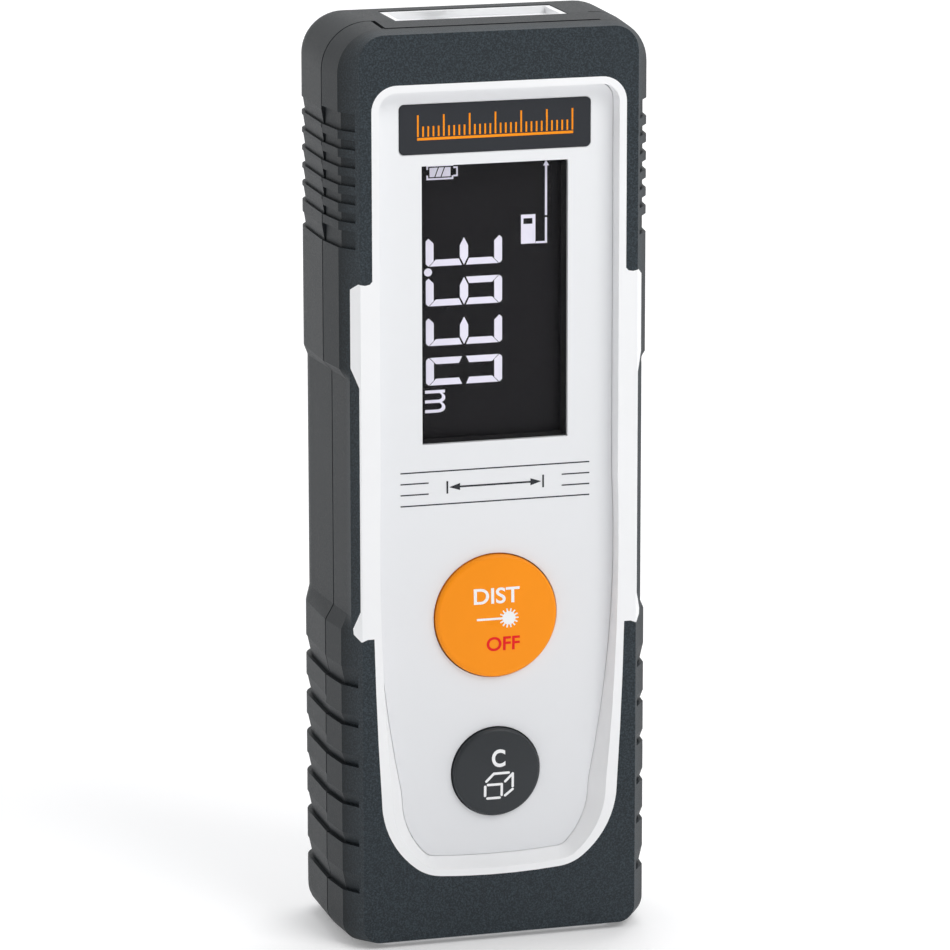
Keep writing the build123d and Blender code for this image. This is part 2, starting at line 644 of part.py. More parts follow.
def display_backlight():
    grow = GLASS_MARGIN - 0.3
    return block(-WINDOW_HALF - grow, WINDOW_HALF + grow, LAMP_Y, LAMP_Y + LAMP, WINDOW_LOW - grow,
                 WINDOW_HIGH + grow)


def display_holder():
    inner = GLASS_MARGIN + FIT
    outer = inner + HOLDER_RIM
    frame = block(-WINDOW_HALF - outer, WINDOW_HALF + outer, GLASS_Y + 0.2, BOARD_Y, WINDOW_LOW - outer,
                  WINDOW_HIGH + outer)
    return frame - block(-WINDOW_HALF - inner, WINDOW_HALF + inner, FRONT_Y, FAR, WINDOW_LOW - inner,
                         WINDOW_HIGH + inner)


def display_connector():
    """The ribbon connector below the display, soldered on the board."""
    low = WINDOW_LOW - GLASS_MARGIN - HOLDER_RIM - 3.2
    body = block(-6.5, 6.5, BOARD_Y - 1.1, BOARD_Y, low, low + 2.6)
    return body - block(-5.8, 5.8, BOARD_Y - 0.8, BOARD_Y - 0.4, low + 1.0, low + 3)


# ---- buttons -------------------------------------------------------------------------------------
def button(z, radius):
    """A key with a softly crowned face, a flange that holds it in and a stem."""
    face_y = PLATE_Y - BUTTON_PROUD
    rim_y = face_y + BUTTON_DOME
    flange_y = INNER_Y + FIT
    flange_back = flange_y + FLANGE_THICK
    stem_y = BOARD_Y - DOME_HIGH - TRAVEL - STEM_GAP
    crown_r = (radius ** 2 + BUTTON_DOME ** 2) / (2 * BUTTON_DOME)
    half = radius / 2
    half_y = face_y + crown_r - sqrt(crown_r ** 2 - half ** 2)
    crown = ThreePointArc((0, face_y), (half, half_y), (radius, rim_y))
    side = Polyline((radius, rim_y), (radius, flange_y), (radius + BUTTON_FLANGE, flange_y),
                    (radius + BUTTON_FLANGE, flange_back), (STEM_R, flange_back), (STEM_R, stem_y),
                    (0, stem_y), (0, face_y))
    body = revolve(make_face(crown + side), Axis.Y)
    rim = [edge for edge in body.edges() if abs(edge.center().Y - rim_y) < 0.001]
    return Pos(0, 0, z) * fillet(rim, BUTTON_EDGE)


def snap_dome(z):
    """A thin metal dome that lies on the board under a key."""
    crown = (DOME_R ** 2 + DOME_HIGH ** 2) / (2 * DOME_HIGH)
    centre = Pos(0, BOARD_Y - DOME_HIGH + crown, z)
    cap = centre * Sphere(crown) - centre * Sphere(crown - DOME_THICK)
    return cap & rod(0, z, DOME_R, BOARD_Y - DOME_HIGH - 0.1, BOARD_Y)


def keypad_mat():
    mat = block(-MAT_HALF, MAT_HALF, BOARD_Y - MAT_THICK, BOARD_Y, CLEAR_Z - 5.0, MEASURE_Z + MAT_HALF)
    for z in (MEASURE_Z, CLEAR_Z):
        mat -= rod(0, z, DOME_R + 2 * RUN, FRONT_Y, FAR)
    return mat


# ---- circuit board -------------------------------------------------------------------------------
def main_board():
    board = block(-BOARD_HALF, BOARD_HALF, BOARD_Y, BOARD_BACK, BOARD_LOW, BOARD_HIGH)
    for x, z in SCREW_PLACES:
        board -= rod(x, z, BOSS_R + 0.3, FRONT_Y, FAR)
    for x, z in BOARD_SCREW_PLACES:
        board -= rod(x, z, SCREW_R + FIT, FRONT_Y, FAR)
    for x in CHASSIS_SCREW_X:
        board -= rod(x, CHASSIS_SCREW_Z, SCREW_R, FRONT_Y, FAR)
    return board


def on_board(x, z, wide, tall, high):
    return block(x - wide / 2, x + wide / 2, BOARD_Y - high, BOARD_Y, z - tall / 2, z + tall / 2)


def processor():
    chip = on_board(-10.9, 50.0, 5.0, 5.0, 1.0)
    return chip - rod(-12.6, 51.7, 0.3, BOARD_Y - 1.2, BOARD_Y - 0.9)


def driver_chip():
    return on_board(11.0, 50.5, 4.0, 5.0, 0.9)


def crystal():
    return chamfer(on_board(-11.0, 44.0, 3.2, 2.0, 0.7).edges().filter_by(Axis.Y), 0.3)


def capacitors():
    return [on_board(12.0, 36.0 + 2.4 * k, 1.0, 1.6, 0.6) for k in range(4)]


def resistors():
    return [on_board(-12.2, 32.0 + 1.8 * k, 1.2, 0.7, 0.4) for k in range(5)]


def buzzer():
    can = rod(BUZZER_X, BUZZER_Z, BUZZER_R, BOARD_Y - 2.0, BOARD_Y)
    return can - rod(BUZZER_X, BUZZER_Z, 0.6, BOARD_Y - 3, BOARD_Y - 1)


# ---- battery bay ---------------------------------------------------------------------------------
def cell(side, up):
    """An AAA cell: case, shoulder and contact nub."""
    x = side * CELL_X
    low = BAY_LOW + CONTACT + (SPRING_ROOM if up else CELL_GAP)
    case_low = low if up else low + NUB_LONG
    case = post(x, CELL_Y, CELL_R, case_low, case_low + CELL_LONG)
    case = fillet(case.edges(), 0.4)
    nub_low = case_low + CELL_LONG if up else low
    return case + post(x, CELL_Y, NUB_R, nub_low, nub_low + NUB_LONG)


def contact_spring(x, low, high):
    """A conical coil pressed between its plate and the cell's flat end."""
    path = Helix(pitch=(high - low - 2 * WIRE_R) / 2.5, height=high - low - 2 * WIRE_R - 0.1, radius=2.4)
    wire = sweep(Plane(origin=path @ 0, z_dir=path % 0) * Circle(WIRE_R), path=path)
    return Pos(x, CELL_Y, low + WIRE_R + 0.05) * wire


def contact_plate(x, half, low):
    return block(x - half, x + half, CELL_Y - 3.4, CELL_Y + 3.0, low, low + CONTACT)


def battery_leads():
    """Two leads that rise from the bay's upper end and turn forward to the board."""
    low = COVER_HIGH + BAY_TOP
    turn = low + 1.6
    leads = []
    for x in (-CELL_X, CELL_X):
        forward = rod(x, turn, LEAD_R, BOARD_BACK, CELL_Y - 2)
        leads.append(forward + post(x, CELL_Y - 2, LEAD_R, low, turn))
    return leads


def battery_cover():
    cover = block(-COVER_HALF, COVER_HALF, COVER_Y, BACK_Y, COVER_LOW, COVER_HIGH)
    cover = fillet(cover.edges().filter_by(Axis.Y).sort_by(Axis.Z)[-2:], 1.2)
    for side in (-1, 1):
        cover -= block(side * 4.4 - 0.3, side * 4.4 + 0.3, FRONT_Y, FAR, COVER_HIGH - 7.0, FAR)
    for k in range(4):
        cover -= block(-3.0, 3.0, BACK_Y - 0.4, FAR, COVER_HIGH - 1.6 - 1.3 * k, COVER_HIGH - 1.1 - 1.3 * k)
    outer_y = COVER_Y - TAB_GAP
    for x in (-TAB_X, TAB_X):
        left, right = x - TAB_WIDE / 2, x + TAB_WIDE / 2
        cover += block(left, right, outer_y - TAB_THICK, outer_y, COVER_LOW - TAB_DROP, BAY_LOW)
        cover += block(left, right, outer_y - TAB_THICK, COVER_Y, COVER_LOW + 0.2, BAY_LOW)
    return cover


# ---- optics --------------------------------------------------------------------------------------
def optics_chassis():
    left, right = EYE_X - 7.0, BEAM_X + 4.8
    body = block(left, right, BOARD_BACK, INSET_Y + 5.0, CHASSIS_LOW, CHASSIS_HIGH)
    cone_high = CHASSIS_HIGH - 3.0
    cone_low = CHASSIS_LOW + 3.0
    cone = Cone(0.9, LENS_R - 0.5, cone_high - cone_low)
    body -= Pos(EYE_X, INSET_Y, (cone_high + cone_low) / 2) * cone
    body -= post(EYE_X, INSET_Y, LENS_R + FIT, cone_high, FAR)
    body -= post(EYE_X, INSET_Y, 2.1, CHASSIS_LOW - 1, cone_low)
    body -= post(BEAM_X, INSET_Y, 2.6, CHASSIS_LOW - 1, FAR)
    for x in CHASSIS_SCREW_X:
        body -= rod(x, CHASSIS_SCREW_Z, SCREW_R - 0.2, BOARD_BACK - 1, BOARD_BACK + 4.2)
    return body


def lens(x, radius, low, thick, bulge):
    """A plano-convex lens, flat side down."""
    crown = (radius ** 2 + bulge ** 2) / (2 * bulge)
    disc = post(x, INSET_Y, radius, low, low + thick)
    return disc & (Pos(x, INSET_Y, low + thick - crown) * Sphere(crown))


def receiver_lens():
    return lens(EYE_X, LENS_R, CHASSIS_HIGH - 3.0, 2.6, 0.9)


def laser_barrel():
    barrel = post(BEAM_X, INSET_Y, 2.55, CHASSIS_LOW + 1, CHASSIS_HIGH - 1)
    return barrel - post(BEAM_X, INSET_Y, 1.9, 0, FAR)


def collimator_lens():
    return lens(BEAM_X, 1.85, CHASSIS_HIGH - 5.0, 1.6, 0.5)


def laser_diode():
    low = CHASSIS_LOW + 1.4
    can = post(BEAM_X, INSET_Y, 1.85, low, low + 1.0) + post(BEAM_X, INSET_Y, 1.3, low, low + 3.2)
    for k in range(3):
        angle = radians(120 * k)
        pin = post(BEAM_X + 0.8 * cos(angle), INSET_Y + 0.8 * sin(angle), 0.2, CHASSIS_LOW - 2.4, low)
        can += pin
    return can


def photodiode():
    low = CHASSIS_LOW + 0.3
    return post(EYE_X, INSET_Y, 2.0, low, low + 2.4) - post(EYE_X, INSET_Y, 1.2, low + 2.0, FAR)


def sensor_board():
    board = block(EYE_X - 4.5, EYE_X + 4.5, BOARD_BACK + 0.5, INSET_Y + 3.5, CHASSIS_LOW - 0.8, CHASSIS_LOW)
    return board + post(EYE_X, INSET_Y, 0.6, CHASSIS_LOW, CHASSIS_LOW + 0.3)


def shield_can():
    high = CHASSIS_LOW - 0.8
    outer = block(EYE_X - 4.0, EYE_X + 4.0, BOARD_BACK + 0.8, INSET_Y + 3.0, high - 2.4, high)
    wall = 0.25
    return outer - block(EYE_X - 4.0 + wall, EYE_X + 4.0 - wall, BOARD_BACK + 0.8 + wall,
                         INSET_Y + 3.0 - wall, high - 2.4 + wall, high + 1)


def optic_inset():
    """The white top piece with the two openings for light."""
    top = HEIGHT - 0.1
    flange_top = HEIGHT - CAVITY - 0.3
    body = block(-INSET_HALF, INSET_HALF, INSET_Y - INSET_DEEP / 2, INSET_Y + INSET_DEEP / 2,
                 flange_top - 0.6, top)
    body += block(-INSET_HALF - 0.8, INSET_HALF + 0.8, INSET_Y - INSET_DEEP / 2 - 0.8,
                  INSET_Y + INSET_DEEP / 2 + 0.8, flange_top - 1.2, flange_top)
    rim = 0.7
    body -= block(-INSET_HALF + rim, INSET_HALF - rim, INSET_Y - INSET_DEEP / 2 + rim,
                  INSET_Y + INSET_DEEP / 2 - rim, top - INSET_SUNK, FAR)
    body -= post(EYE_X, INSET_Y, EYE_R, 0, FAR)
    return body - post(BEAM_X, INSET_Y, BEAM_R, 0, FAR)


def light_window(x, radius):
    top = HEIGHT - 0.1 - INSET_SUNK
    return post(x, INSET_Y, radius - FIT / 2, top - 0.9, top - 0.2)


# ---- fasteners and label -------------------------------------------------------------------------
def screw(x, z, head_y, end_y, radius, head_r, head_high):
    """A small pan-head screw pointing to the front; head_y is its outer face."""
    body = rod(x, z, head_r, head_y - head_high, head_y) + rod(x, z, radius, end_y, head_y)
    slot = block(x - 0.2, x + 0.2, head_y - 0.4, head_y + 1, z - head_r * 0.6, z + head_r * 0.6)
    bar = block(x - head_r * 0.6, x + head_r * 0.6, head_y - 0.4, head_y + 1, z - 0.2, z + 0.2)
    return body - slot - bar


def housing_screws():
    return [screw(x, z, COVER_Y, BOARD_Y, SCREW_R - FIT, HEAD_R, HEAD_HIGH) for x, z in SCREW_PLACES]


def board_screws():
    shank = SCREW_R - 0.2 - FIT
    return [screw(x, z, BOARD_BACK + BOARD_HEAD_HIGH, BOARD_Y - 2, shank, BOARD_HEAD_R, BOARD_HEAD_HIGH)
            for x, z in BOARD_SCREW_PLACES]


def chassis_screws():
    """Two screws from the board's front into the optics chassis."""
    screws = []
    for x in CHASSIS_SCREW_X:
        head_y = BOARD_Y - CHASSIS_HEAD_HIGH
        body = rod(x, CHASSIS_SCREW_Z, CHASSIS_HEAD_R, head_y, BOARD_Y)
        body += rod(x, CHASSIS_SCREW_Z, SCREW_R - 0.2 - FIT, head_y, BOARD_BACK + 4)
        slot_low = CHASSIS_SCREW_Z - 0.2
        slot_high = CHASSIS_SCREW_Z + 0.2
        body -= block(x - 0.8, x + 0.8, head_y - 1, head_y + 0.3, slot_low, slot_high)
        screws.append(body)
    return screws


def rear_label():
    shape = RectangleRounded(2 * LABEL_HALF, LABEL_HIGH - LABEL_LOW, 1.0)
    face_y = BACK_Y - LABEL_SUNK
    return slab(Pos(0, (LABEL_LOW + LABEL_HIGH) / 2) * shape, face_y - LABEL_THICK, face_y)


# ---- build and write -----------------------------------------------------------------------------
def housing():
    outer = envelope(0)
    skin = envelope(GRIP)
    cavity = envelope(CAVITY)
    behind = rear_side()
    groove = seam_groove(outer, envelope(SEAM_GROOVE_DEEP))
    return {
        "front_shell": front_shell(outer, skin, cavity),
        "front_grip": front_grip(outer, skin, behind, groove),
        "rear_shell": rear_shell(skin, cavity),
        "rear_grip": rear_grip(outer, skin, behind, groove),
    }


def all_nodes():
    nodes = housing()
    nodes["base_plate"] = base_plate()
    nodes["face_plate"] = face_plate()
    nodes["nameplate"] = nameplate()
    nodes["display_window"] = display_window()
    nodes["display_gasket"] = display_gasket()
    nodes["display_glass"] = display_glass()
    nodes["display_backlight"] = display_backlight()
    nodes["display_holder"] = display_holder()
    nodes["display_connector"] = display_connector()
    nodes["measure_button"] = button(MEASURE_Z, MEASURE_R)
    nodes["clear_button"] = button(CLEAR_Z, CLEAR_R)
    nodes["measure_dome"] = snap_dome(MEASURE_Z)
    nodes["clear_dome"] = snap_dome(CLEAR_Z)
    nodes["keypad_mat"] = keypad_mat()
    nodes["main_board"] = main_board()
    nodes["processor"] = processor()
    nodes["driver_chip"] = driver_chip()
    nodes["crystal"] = crystal()
    nodes["capacitors"] = capacitors()
    nodes["resistors"] = resistors()
    nodes["buzzer"] = buzzer()
    nodes["left_cell"] = cell(-1, True)
    nodes["right_cell"] = cell(1, False)
    low_plate = BAY_LOW
    high_plate = BAY_HIGH - CONTACT
    nodes["contact_bridge"] = contact_plate(0, CELL_X + 3.4, low_plate)
    nodes["contact_positive"] = contact_plate(-CELL_X, 3.4, high_plate)
    nodes["contact_negative"] = contact_plate(CELL_X, 3.4, high_plate)
    nodes["lower_spring"] = contact_spring(-CELL_X, low_plate + CONTACT, low_plate + CONTACT + SPRING_ROOM)
    nodes["upper_spring"] = contact_spring(CELL_X, high_plate - SPRING_ROOM, high_plate)
    nodes["battery_leads"] = battery_leads()
    nodes["battery_cover"] = battery_cover()
    nodes["optics_chassis"] = optics_chassis()
    nodes["receiver_lens"] = receiver_lens()
    nodes["laser_barrel"] = laser_barrel()
    nodes["collimator_lens"] = collimator_lens()
    nodes["laser_diode"] = laser_diode()
    nodes["photodiode"] = photodiode()
    nodes["sensor_board"] = sensor_board()
    nodes["shield_can"] = shield_can()
    nodes["optic_inset"] = optic_inset()
    nodes["receiver_window"] = light_window(EYE_X, EYE_R)
    nodes["laser_window"] = light_window(BEAM_X, BEAM_R)
    nodes["housing_screws"] = housing_screws()
    nodes["board_screws"] = board_screws()
    nodes["chassis_screws"] = chassis_screws()
    nodes["rear_label"] = rear_label()
    return nodes


os.makedirs("parts", exist_ok=True)
for name, shape in all_nodes().items():
    solid = Compound(children=shape) if isinstance(shape, list) else shape
    export_step(solid, "parts/" + name + ".step")
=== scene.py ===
# %% [markdown]
# # A pocket laser distance meter
# The real meter is a slim two-part case: white and dark shells with a soft ribbed grip moulded over
# them, a sunk printed face with a dark display, and two round keys. The CAD model already has every
# piece at its true size, so this lesson dresses it: first the camera and the studio, then the
# finishes, the printed marks, the lit display and small electronics. Loading the frame comes before
# all of it, because every later piece takes its place from it.

# %% Load the frame
import json
from math import atan2, cos, pi, radians, sin

import bmesh
import bpy
from mathutils import Matrix, Vector


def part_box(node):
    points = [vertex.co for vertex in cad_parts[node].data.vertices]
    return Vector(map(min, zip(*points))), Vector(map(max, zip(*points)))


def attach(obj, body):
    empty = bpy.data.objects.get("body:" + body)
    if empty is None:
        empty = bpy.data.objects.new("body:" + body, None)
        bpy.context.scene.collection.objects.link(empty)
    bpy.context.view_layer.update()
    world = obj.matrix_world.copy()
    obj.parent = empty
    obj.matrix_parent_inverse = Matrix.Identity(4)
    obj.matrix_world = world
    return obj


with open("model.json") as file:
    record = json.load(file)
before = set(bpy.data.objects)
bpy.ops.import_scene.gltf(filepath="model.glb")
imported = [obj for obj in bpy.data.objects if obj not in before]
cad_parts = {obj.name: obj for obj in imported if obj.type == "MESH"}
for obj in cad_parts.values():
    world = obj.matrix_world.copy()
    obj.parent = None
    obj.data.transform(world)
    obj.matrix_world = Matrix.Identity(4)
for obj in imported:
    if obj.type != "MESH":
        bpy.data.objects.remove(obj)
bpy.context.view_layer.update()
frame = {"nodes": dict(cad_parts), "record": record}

MM = 0.001
nodes = frame["nodes"]

# %% [markdown]
# ## The camera
# A long lens far away keeps upright edges nearly parallel, as in a catalogue.
# The camera here looks a little from the left and from above. It could be aimed with a constraint, but
# a matrix built from three directions is exact and leaves nothing live in the scene.

# %% Camera
VIEW_AZIMUTH = radians(-16.04)
VIEW_ELEVATION = radians(13.056)
VIEW_ROLL = radians(-0.072)
VIEW_DISTANCE = 0.6442
VIEW_TARGET = Vector((-2.473, -8.735, 56.51)) * MM
LENS_MM = 208.4
FILM_MM = 36


def looking_back(azimuth, elevation):
    """The direction from the target to the camera."""
    return Vector((sin(azimuth) * cos(elevation), -cos(azimuth) * cos(elevation), sin(elevation)))


def aim(place, back, roll=0.0):
    """A matrix for a camera or a lamp that looks against back."""
    right = Vector((0, 0, 1)).cross(back).normalized()
    up = back.cross(right)
    turn = Matrix((right, up, back)).transposed() @ Matrix.Rotation(roll, 3, "Z")
    return Matrix.Translation(place) @ turn.to_4x4()


camera_data = bpy.data.cameras.new("camera")
camera_data.sensor_width = FILM_MM
camera_data.lens = LENS_MM
camera_data.clip_end = 20
camera = bpy.data.objects.new("camera", camera_data)
bpy.context.scene.collection.objects.link(camera)
view_back = looking_back(VIEW_AZIMUTH, VIEW_ELEVATION)
camera.matrix_world = aim(VIEW_TARGET + view_back * VIEW_DISTANCE, view_back, VIEW_ROLL)
bpy.context.scene.camera = camera
print("camera:", [round(value, 3) for value in camera.matrix_world.translation])

# %% [markdown]
# ## Helpers for finishes
# Each finish is a small graph of nodes on Object coordinates, so that its grain stays the same size
# in millimetres on every piece and doesn't slide. A wide soft noise varies the colour slightly, and a
# fine noise feeds a Bump node for the grain of the mould. A UV map could do the same, but the pieces
# come from CAD without one.

# %% Helpers for finishes
def start_finish(name):
    material = bpy.data.materials.new(name)
    material.use_nodes = True
    tree = material.node_tree
    coordinates = tree.nodes.new("ShaderNodeTexCoord")
    return material, tree, tree.nodes["Principled BSDF"], coordinates.outputs["Object"]


def add_noise(tree, where, size_mm, detail=2.0, roughness=0.5):
    noise = tree.nodes.new("ShaderNodeTexNoise")
    noise.inputs["Scale"].default_value = 1.0 / (size_mm * MM)
    noise.inputs["Detail"].default_value = detail
    noise.inputs["Roughness"].default_value = roughness
    tree.links.new(where, noise.inputs["Vector"])
    return noise.outputs["Fac"]


def add_range(tree, value, low_in, high_in, low_out, high_out):
    scale = tree.nodes.new("ShaderNodeMapRange")
    for label, number in (("From Min", low_in), ("From Max", high_in), ("To Min", low_out),
                          ("To Max", high_out)):
        scale.inputs[label].default_value = number
    tree.links.new(value, scale.inputs["Value"])
    return scale.outputs["Result"]


def add_mix(tree, factor, first, second):
    """Blend two colours; each is a colour or another node's output."""
    mix = tree.nodes.new("ShaderNodeMix")
    mix.data_type = "RGBA"
    tree.links.new(factor, mix.inputs[0])
    for socket, colour in ((mix.inputs[6], first), (mix.inputs[7], second)):
        if isinstance(colour, bpy.types.NodeSocket):
            tree.links.new(colour, socket)
        else:
            socket.default_value = (*colour, 1)
    return mix.outputs[2]


def add_math(tree, operation, first, second):
    node = tree.nodes.new("ShaderNodeMath")
    node.operation = operation
    for socket, value in zip(node.inputs, (first, second)):
        if isinstance(value, bpy.types.NodeSocket):
            tree.links.new(value, socket)
        else:
            socket.default_value = value
    return node.outputs["Value"]


def add_bump(tree, shader, height, depth_mm, strength=1.0):
    bump = tree.nodes.new("ShaderNodeBump")
    bump.inputs["Distance"].default_value = depth_mm * MM
    bump.inputs["Strength"].default_value = strength
    tree.links.new(height, bump.inputs["Height"])
    tree.links.new(bump.outputs["Normal"], shader.inputs["Normal"])
    return bump


def shaded(colour, factor):
    return tuple(channel * factor for channel in colour)


def split_axes(tree, where):
    parts = tree.nodes.new("ShaderNodeSeparateXYZ")
    tree.links.new(where, parts.inputs[0])
    return parts.outputs


def set_sockets(shader, values):
    for label, value in values.items():
        shader.inputs[label].default_value = value


# %% [markdown]
# ## The studio
# A small glossy object shows the room around it. Large lamps make wide soft highlights, and a pale
# world fills the shadows. The sky is a little brighter behind the object than in front of it, which
# keeps the dark grip dark and the backdrop clean. Lamps fade with distance, so the floor's paper glows
# a little more the farther it lies from the object, and the backdrop stays even.

# %% Floor, world and lamps
bpy.context.scene.view_settings.view_transform = "Standard"
FLOOR_HALF = 3.0
FLOOR_WHITE = (0.86, 0.86, 0.865, 1)
GLOW_START, GLOW_END = 0.2, 1.0
GLOW_NEAR, GLOW_FAR = 0.2, 0.6
SKY_WHITE = (0.985, 0.99, 1.0, 1)
SKY_TURN = (-0.25, 0.5)
SKY_FRONT, SKY_BEHIND = 0.3, 1.0
LAMP_AIM = Vector((0, 0, 0.055))


def make_floor():
    mesh = bpy.data.meshes.new("floor")
    corners = [(x * FLOOR_HALF, y * FLOOR_HALF, 0) for x, y in ((-1, -1), (1, -1), (1, 1), (-1, 1))]
    mesh.from_pydata(corners, [], [(0, 1, 2, 3)])
    floor = bpy.data.objects.new("floor", mesh)
    bpy.context.scene.collection.objects.link(floor)
    material, tree, shader, where = start_finish("floor_paper")
    set_sockets(shader, {"Base Color": FLOOR_WHITE, "Roughness": 0.9, "Emission Color": (1, 1, 1, 1)})
    away = tree.nodes.new("ShaderNodeVectorMath")
    away.operation = "LENGTH"
    tree.links.new(where, away.inputs[0])
    glow = add_range(tree, away.outputs["Value"], GLOW_START, GLOW_END, GLOW_NEAR, GLOW_FAR)
    tree.links.new(glow, shader.inputs["Emission Strength"])
    mesh.materials.append(material)


def make_world():
    world = bpy.data.worlds.new("studio")
    bpy.context.scene.world = world
    world.use_nodes = True
    tree = world.node_tree
    sky = tree.nodes["Background"]
    place = tree.nodes.new("ShaderNodeTexCoord")
    behind = split_axes(tree, place.outputs["Generated"])["Y"]
    tree.links.new(add_range(tree, behind, *SKY_TURN, SKY_FRONT, SKY_BEHIND), sky.inputs["Strength"])
    sky.inputs["Color"].default_value = SKY_WHITE


def softbox(name, azimuth, elevation, distance, width, height, power):
    data = bpy.data.lights.new(name, "AREA")
    data.shape = "RECTANGLE"
    data.size = width
    data.size_y = height
    data.energy = power
    lamp = bpy.data.objects.new(name, data)
    bpy.context.scene.collection.objects.link(lamp)
    back = looking_back(radians(azimuth), radians(elevation))
    lamp.matrix_world = aim(LAMP_AIM + back * distance, back)


make_floor()
make_world()
softbox("key_right", azimuth=30, elevation=46, distance=0.75, width=0.4, height=0.4, power=2.6)
softbox("side_left", azimuth=-112, elevation=14, distance=0.6, width=0.3, height=0.6, power=0.3)
softbox("top_back", azimuth=160, elevation=62, distance=0.7, width=0.5, height=0.3, power=1.6)
print("lamps:", [lamp.name for lamp in bpy.data.lights])

# %% [markdown]
# ## Moulded plastics
# Most pieces are injection moulded. Their colour is even, with a slight cloudiness from the flow of
# the melt, and the steel mould leaves a fine grain. One function makes them all, because only the
# colour, the grain and the gloss differ.

# %% Moulded plastics
def moulded(name, colour, rough, grain_mm, depth_mm, cloud=0.06, **sockets):
    material, tree, shader, where = start_finish(name)
    clouds = add_noise(tree, where, 9.0, 3.0)
    even = add_range(tree, clouds, 0.3, 0.7, 0.0, 1.0)
    tone = add_mix(tree, even, shaded(colour, 1 - cloud), shaded(colour, 1 + cloud))
    tree.links.new(tone, shader.inputs["Base Color"])
    grain = add_noise(tree, where, grain_mm, 3.0, 0.6)
    gloss = add_range(tree, grain, 0.3, 0.7, rough - 0.05, rough + 0.05)
    tree.links.new(gloss, shader.inputs["Roughness"])
    add_bump(tree, shader, grain, depth_mm)
    set_sockets(shader, {label.replace("_", " "): value for label, value in sockets.items()})
    return material


finishes = {
    "white_shell": moulded("white_abs", (0.91, 0.915, 0.925), 0.36, 0.35, 0.004, 0.01),
    "dark_shell": moulded("dark_abs", (0.022, 0.025, 0.028), 0.5, 0.4, 0.012),
    "cover_plastic": moulded("cover_abs", (0.036, 0.044, 0.049), 0.55, 0.3, 0.02),
    "name_black": moulded("dark_film", (0.020, 0.0225, 0.028), 0.45, 0.25, 0.003, 0.03,
                          Specular_IOR_Level=0.3),
    "black_foam": moulded("foam_black", (0.006, 0.006, 0.007), 0.95, 0.12, 0.05),
    "orange_key": moulded("soft_orange", (0.99, 0.30, 0.003), 0.45, 0.16, 0.006, 0.02,
                          Specular_IOR_Level=0.22),
    "dark_key": moulded("soft_dark", (0.016, 0.020, 0.024), 0.5, 0.16, 0.012),
    "chip_black": moulded("chip_resin", (0.014, 0.014, 0.016), 0.6, 0.1, 0.008),
    "part_tan": moulded("chip_ceramic", (0.42, 0.28, 0.16), 0.45, 0.15, 0.004),
    "lead_red": moulded("wire_red", (0.80, 0.008, 0.010), 0.4, 0.5, 0.004, 0.05,
                        Specular_IOR_Level=0.2),
}
print("moulded finishes:", sorted(finishes))

# %% [markdown]
# ## The soft grip
# The grip is a rubbery plastic moulded over the hard shells. Its front edge has a coarse grain, because the
# mould was eroded with sparks there, and its sides are smoother.
# Pale specks along that grain are painted sparkle. The colour is painted lighter on the front and darker on
# the sides, as painted light and shade from the lamps.
# One material does both: the distance from the front decides how deep the grain is, how many painted specks
# show and how light the painted tone.

# %% Soft grip
front_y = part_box("front_shell")[0].y
GRAIN_FRONT_MM = 0.15
GRAIN_BACK_MM = 2.85
GRIP_COLOUR = (0.0135, 0.018, 0.0215)
# Painted sparkle: the pale colour of the specks that stand for glints on the grain.
GLINT_FLECK_COLOUR = shaded(GRIP_COLOUR, 3.6)
# Painted shade on the sides and painted light on the front, as factors on the grip's colour.
SIDE_PAINTED_SHADE_FACTORS = (0.5, 0.6)
FRONT_PAINTED_LIGHT_FACTORS = (1.35, 1.5)


def soft_grip():
    material, tree, shader, where = start_finish("soft_grip")
    axes = split_axes(tree, where)
    front = add_range(tree, axes["Y"], front_y + GRAIN_FRONT_MM * MM, front_y + GRAIN_BACK_MM * MM, 1.0, 0.0)
    sparks = add_noise(tree, where, 0.2, 2.0, 0.75)
    clouds = add_noise(tree, where, 14.0, 2.0)
    # Painted sparkle: specks follow the real grain and are lifted towards a pale colour, with more of them
    # at the front.
    grain_glints = add_range(tree, sparks, 0.44, 0.66, 0.0, 1.0)
    glint_share = add_math(tree, "MULTIPLY", grain_glints, add_range(tree, front, 0.0, 1.0, 0.2, 0.9))
    even = add_range(tree, clouds, 0.3, 0.7, 0.0, 1.0)
    # Painted shade on the sides and painted light on the front, mixed by the distance from the front.
    side_tone_painted_shade = add_mix(tree, even, *(shaded(GRIP_COLOUR, shade) for shade in SIDE_PAINTED_SHADE_FACTORS))
    front_tone_painted_light = add_mix(tree, even, *(shaded(GRIP_COLOUR, shade) for shade in FRONT_PAINTED_LIGHT_FACTORS))
    base = add_mix(tree, front, side_tone_painted_shade, front_tone_painted_light)
    tree.links.new(add_mix(tree, glint_share, base, GLINT_FLECK_COLOUR), shader.inputs["Base Color"])
    gloss = add_range(tree, sparks, 0.3, 0.7, 0.44, 0.6)
    tree.links.new(gloss, shader.inputs["Roughness"])
    depth = add_math(tree, "MULTIPLY", sparks, add_range(tree, front, 0.0, 1.0, 0.35, 1.0))
    add_bump(tree, shader, depth, 0.09, 0.9)
    set_sockets(shader, {"Specular IOR Level": 0.23})
    return material


finishes["soft_grip"] = soft_grip()

# %% [markdown]
# ## The printed face
# The face is a thin film in a pale cool grey with a silk surface. Its colour is painted a little darker
# towards the foot and lighter at the top, as painted shade and light from the lamps above.
# The slow change of tone is a Map Range on the height, which costs nothing and needs no picture.

# %% Printed face film
# Painted light at the top and painted shade at the foot of the face.
FACE_LIT_TOP = (0.86, 0.87, 0.885)
FACE_SHADED_FOOT = (0.78, 0.79, 0.81)


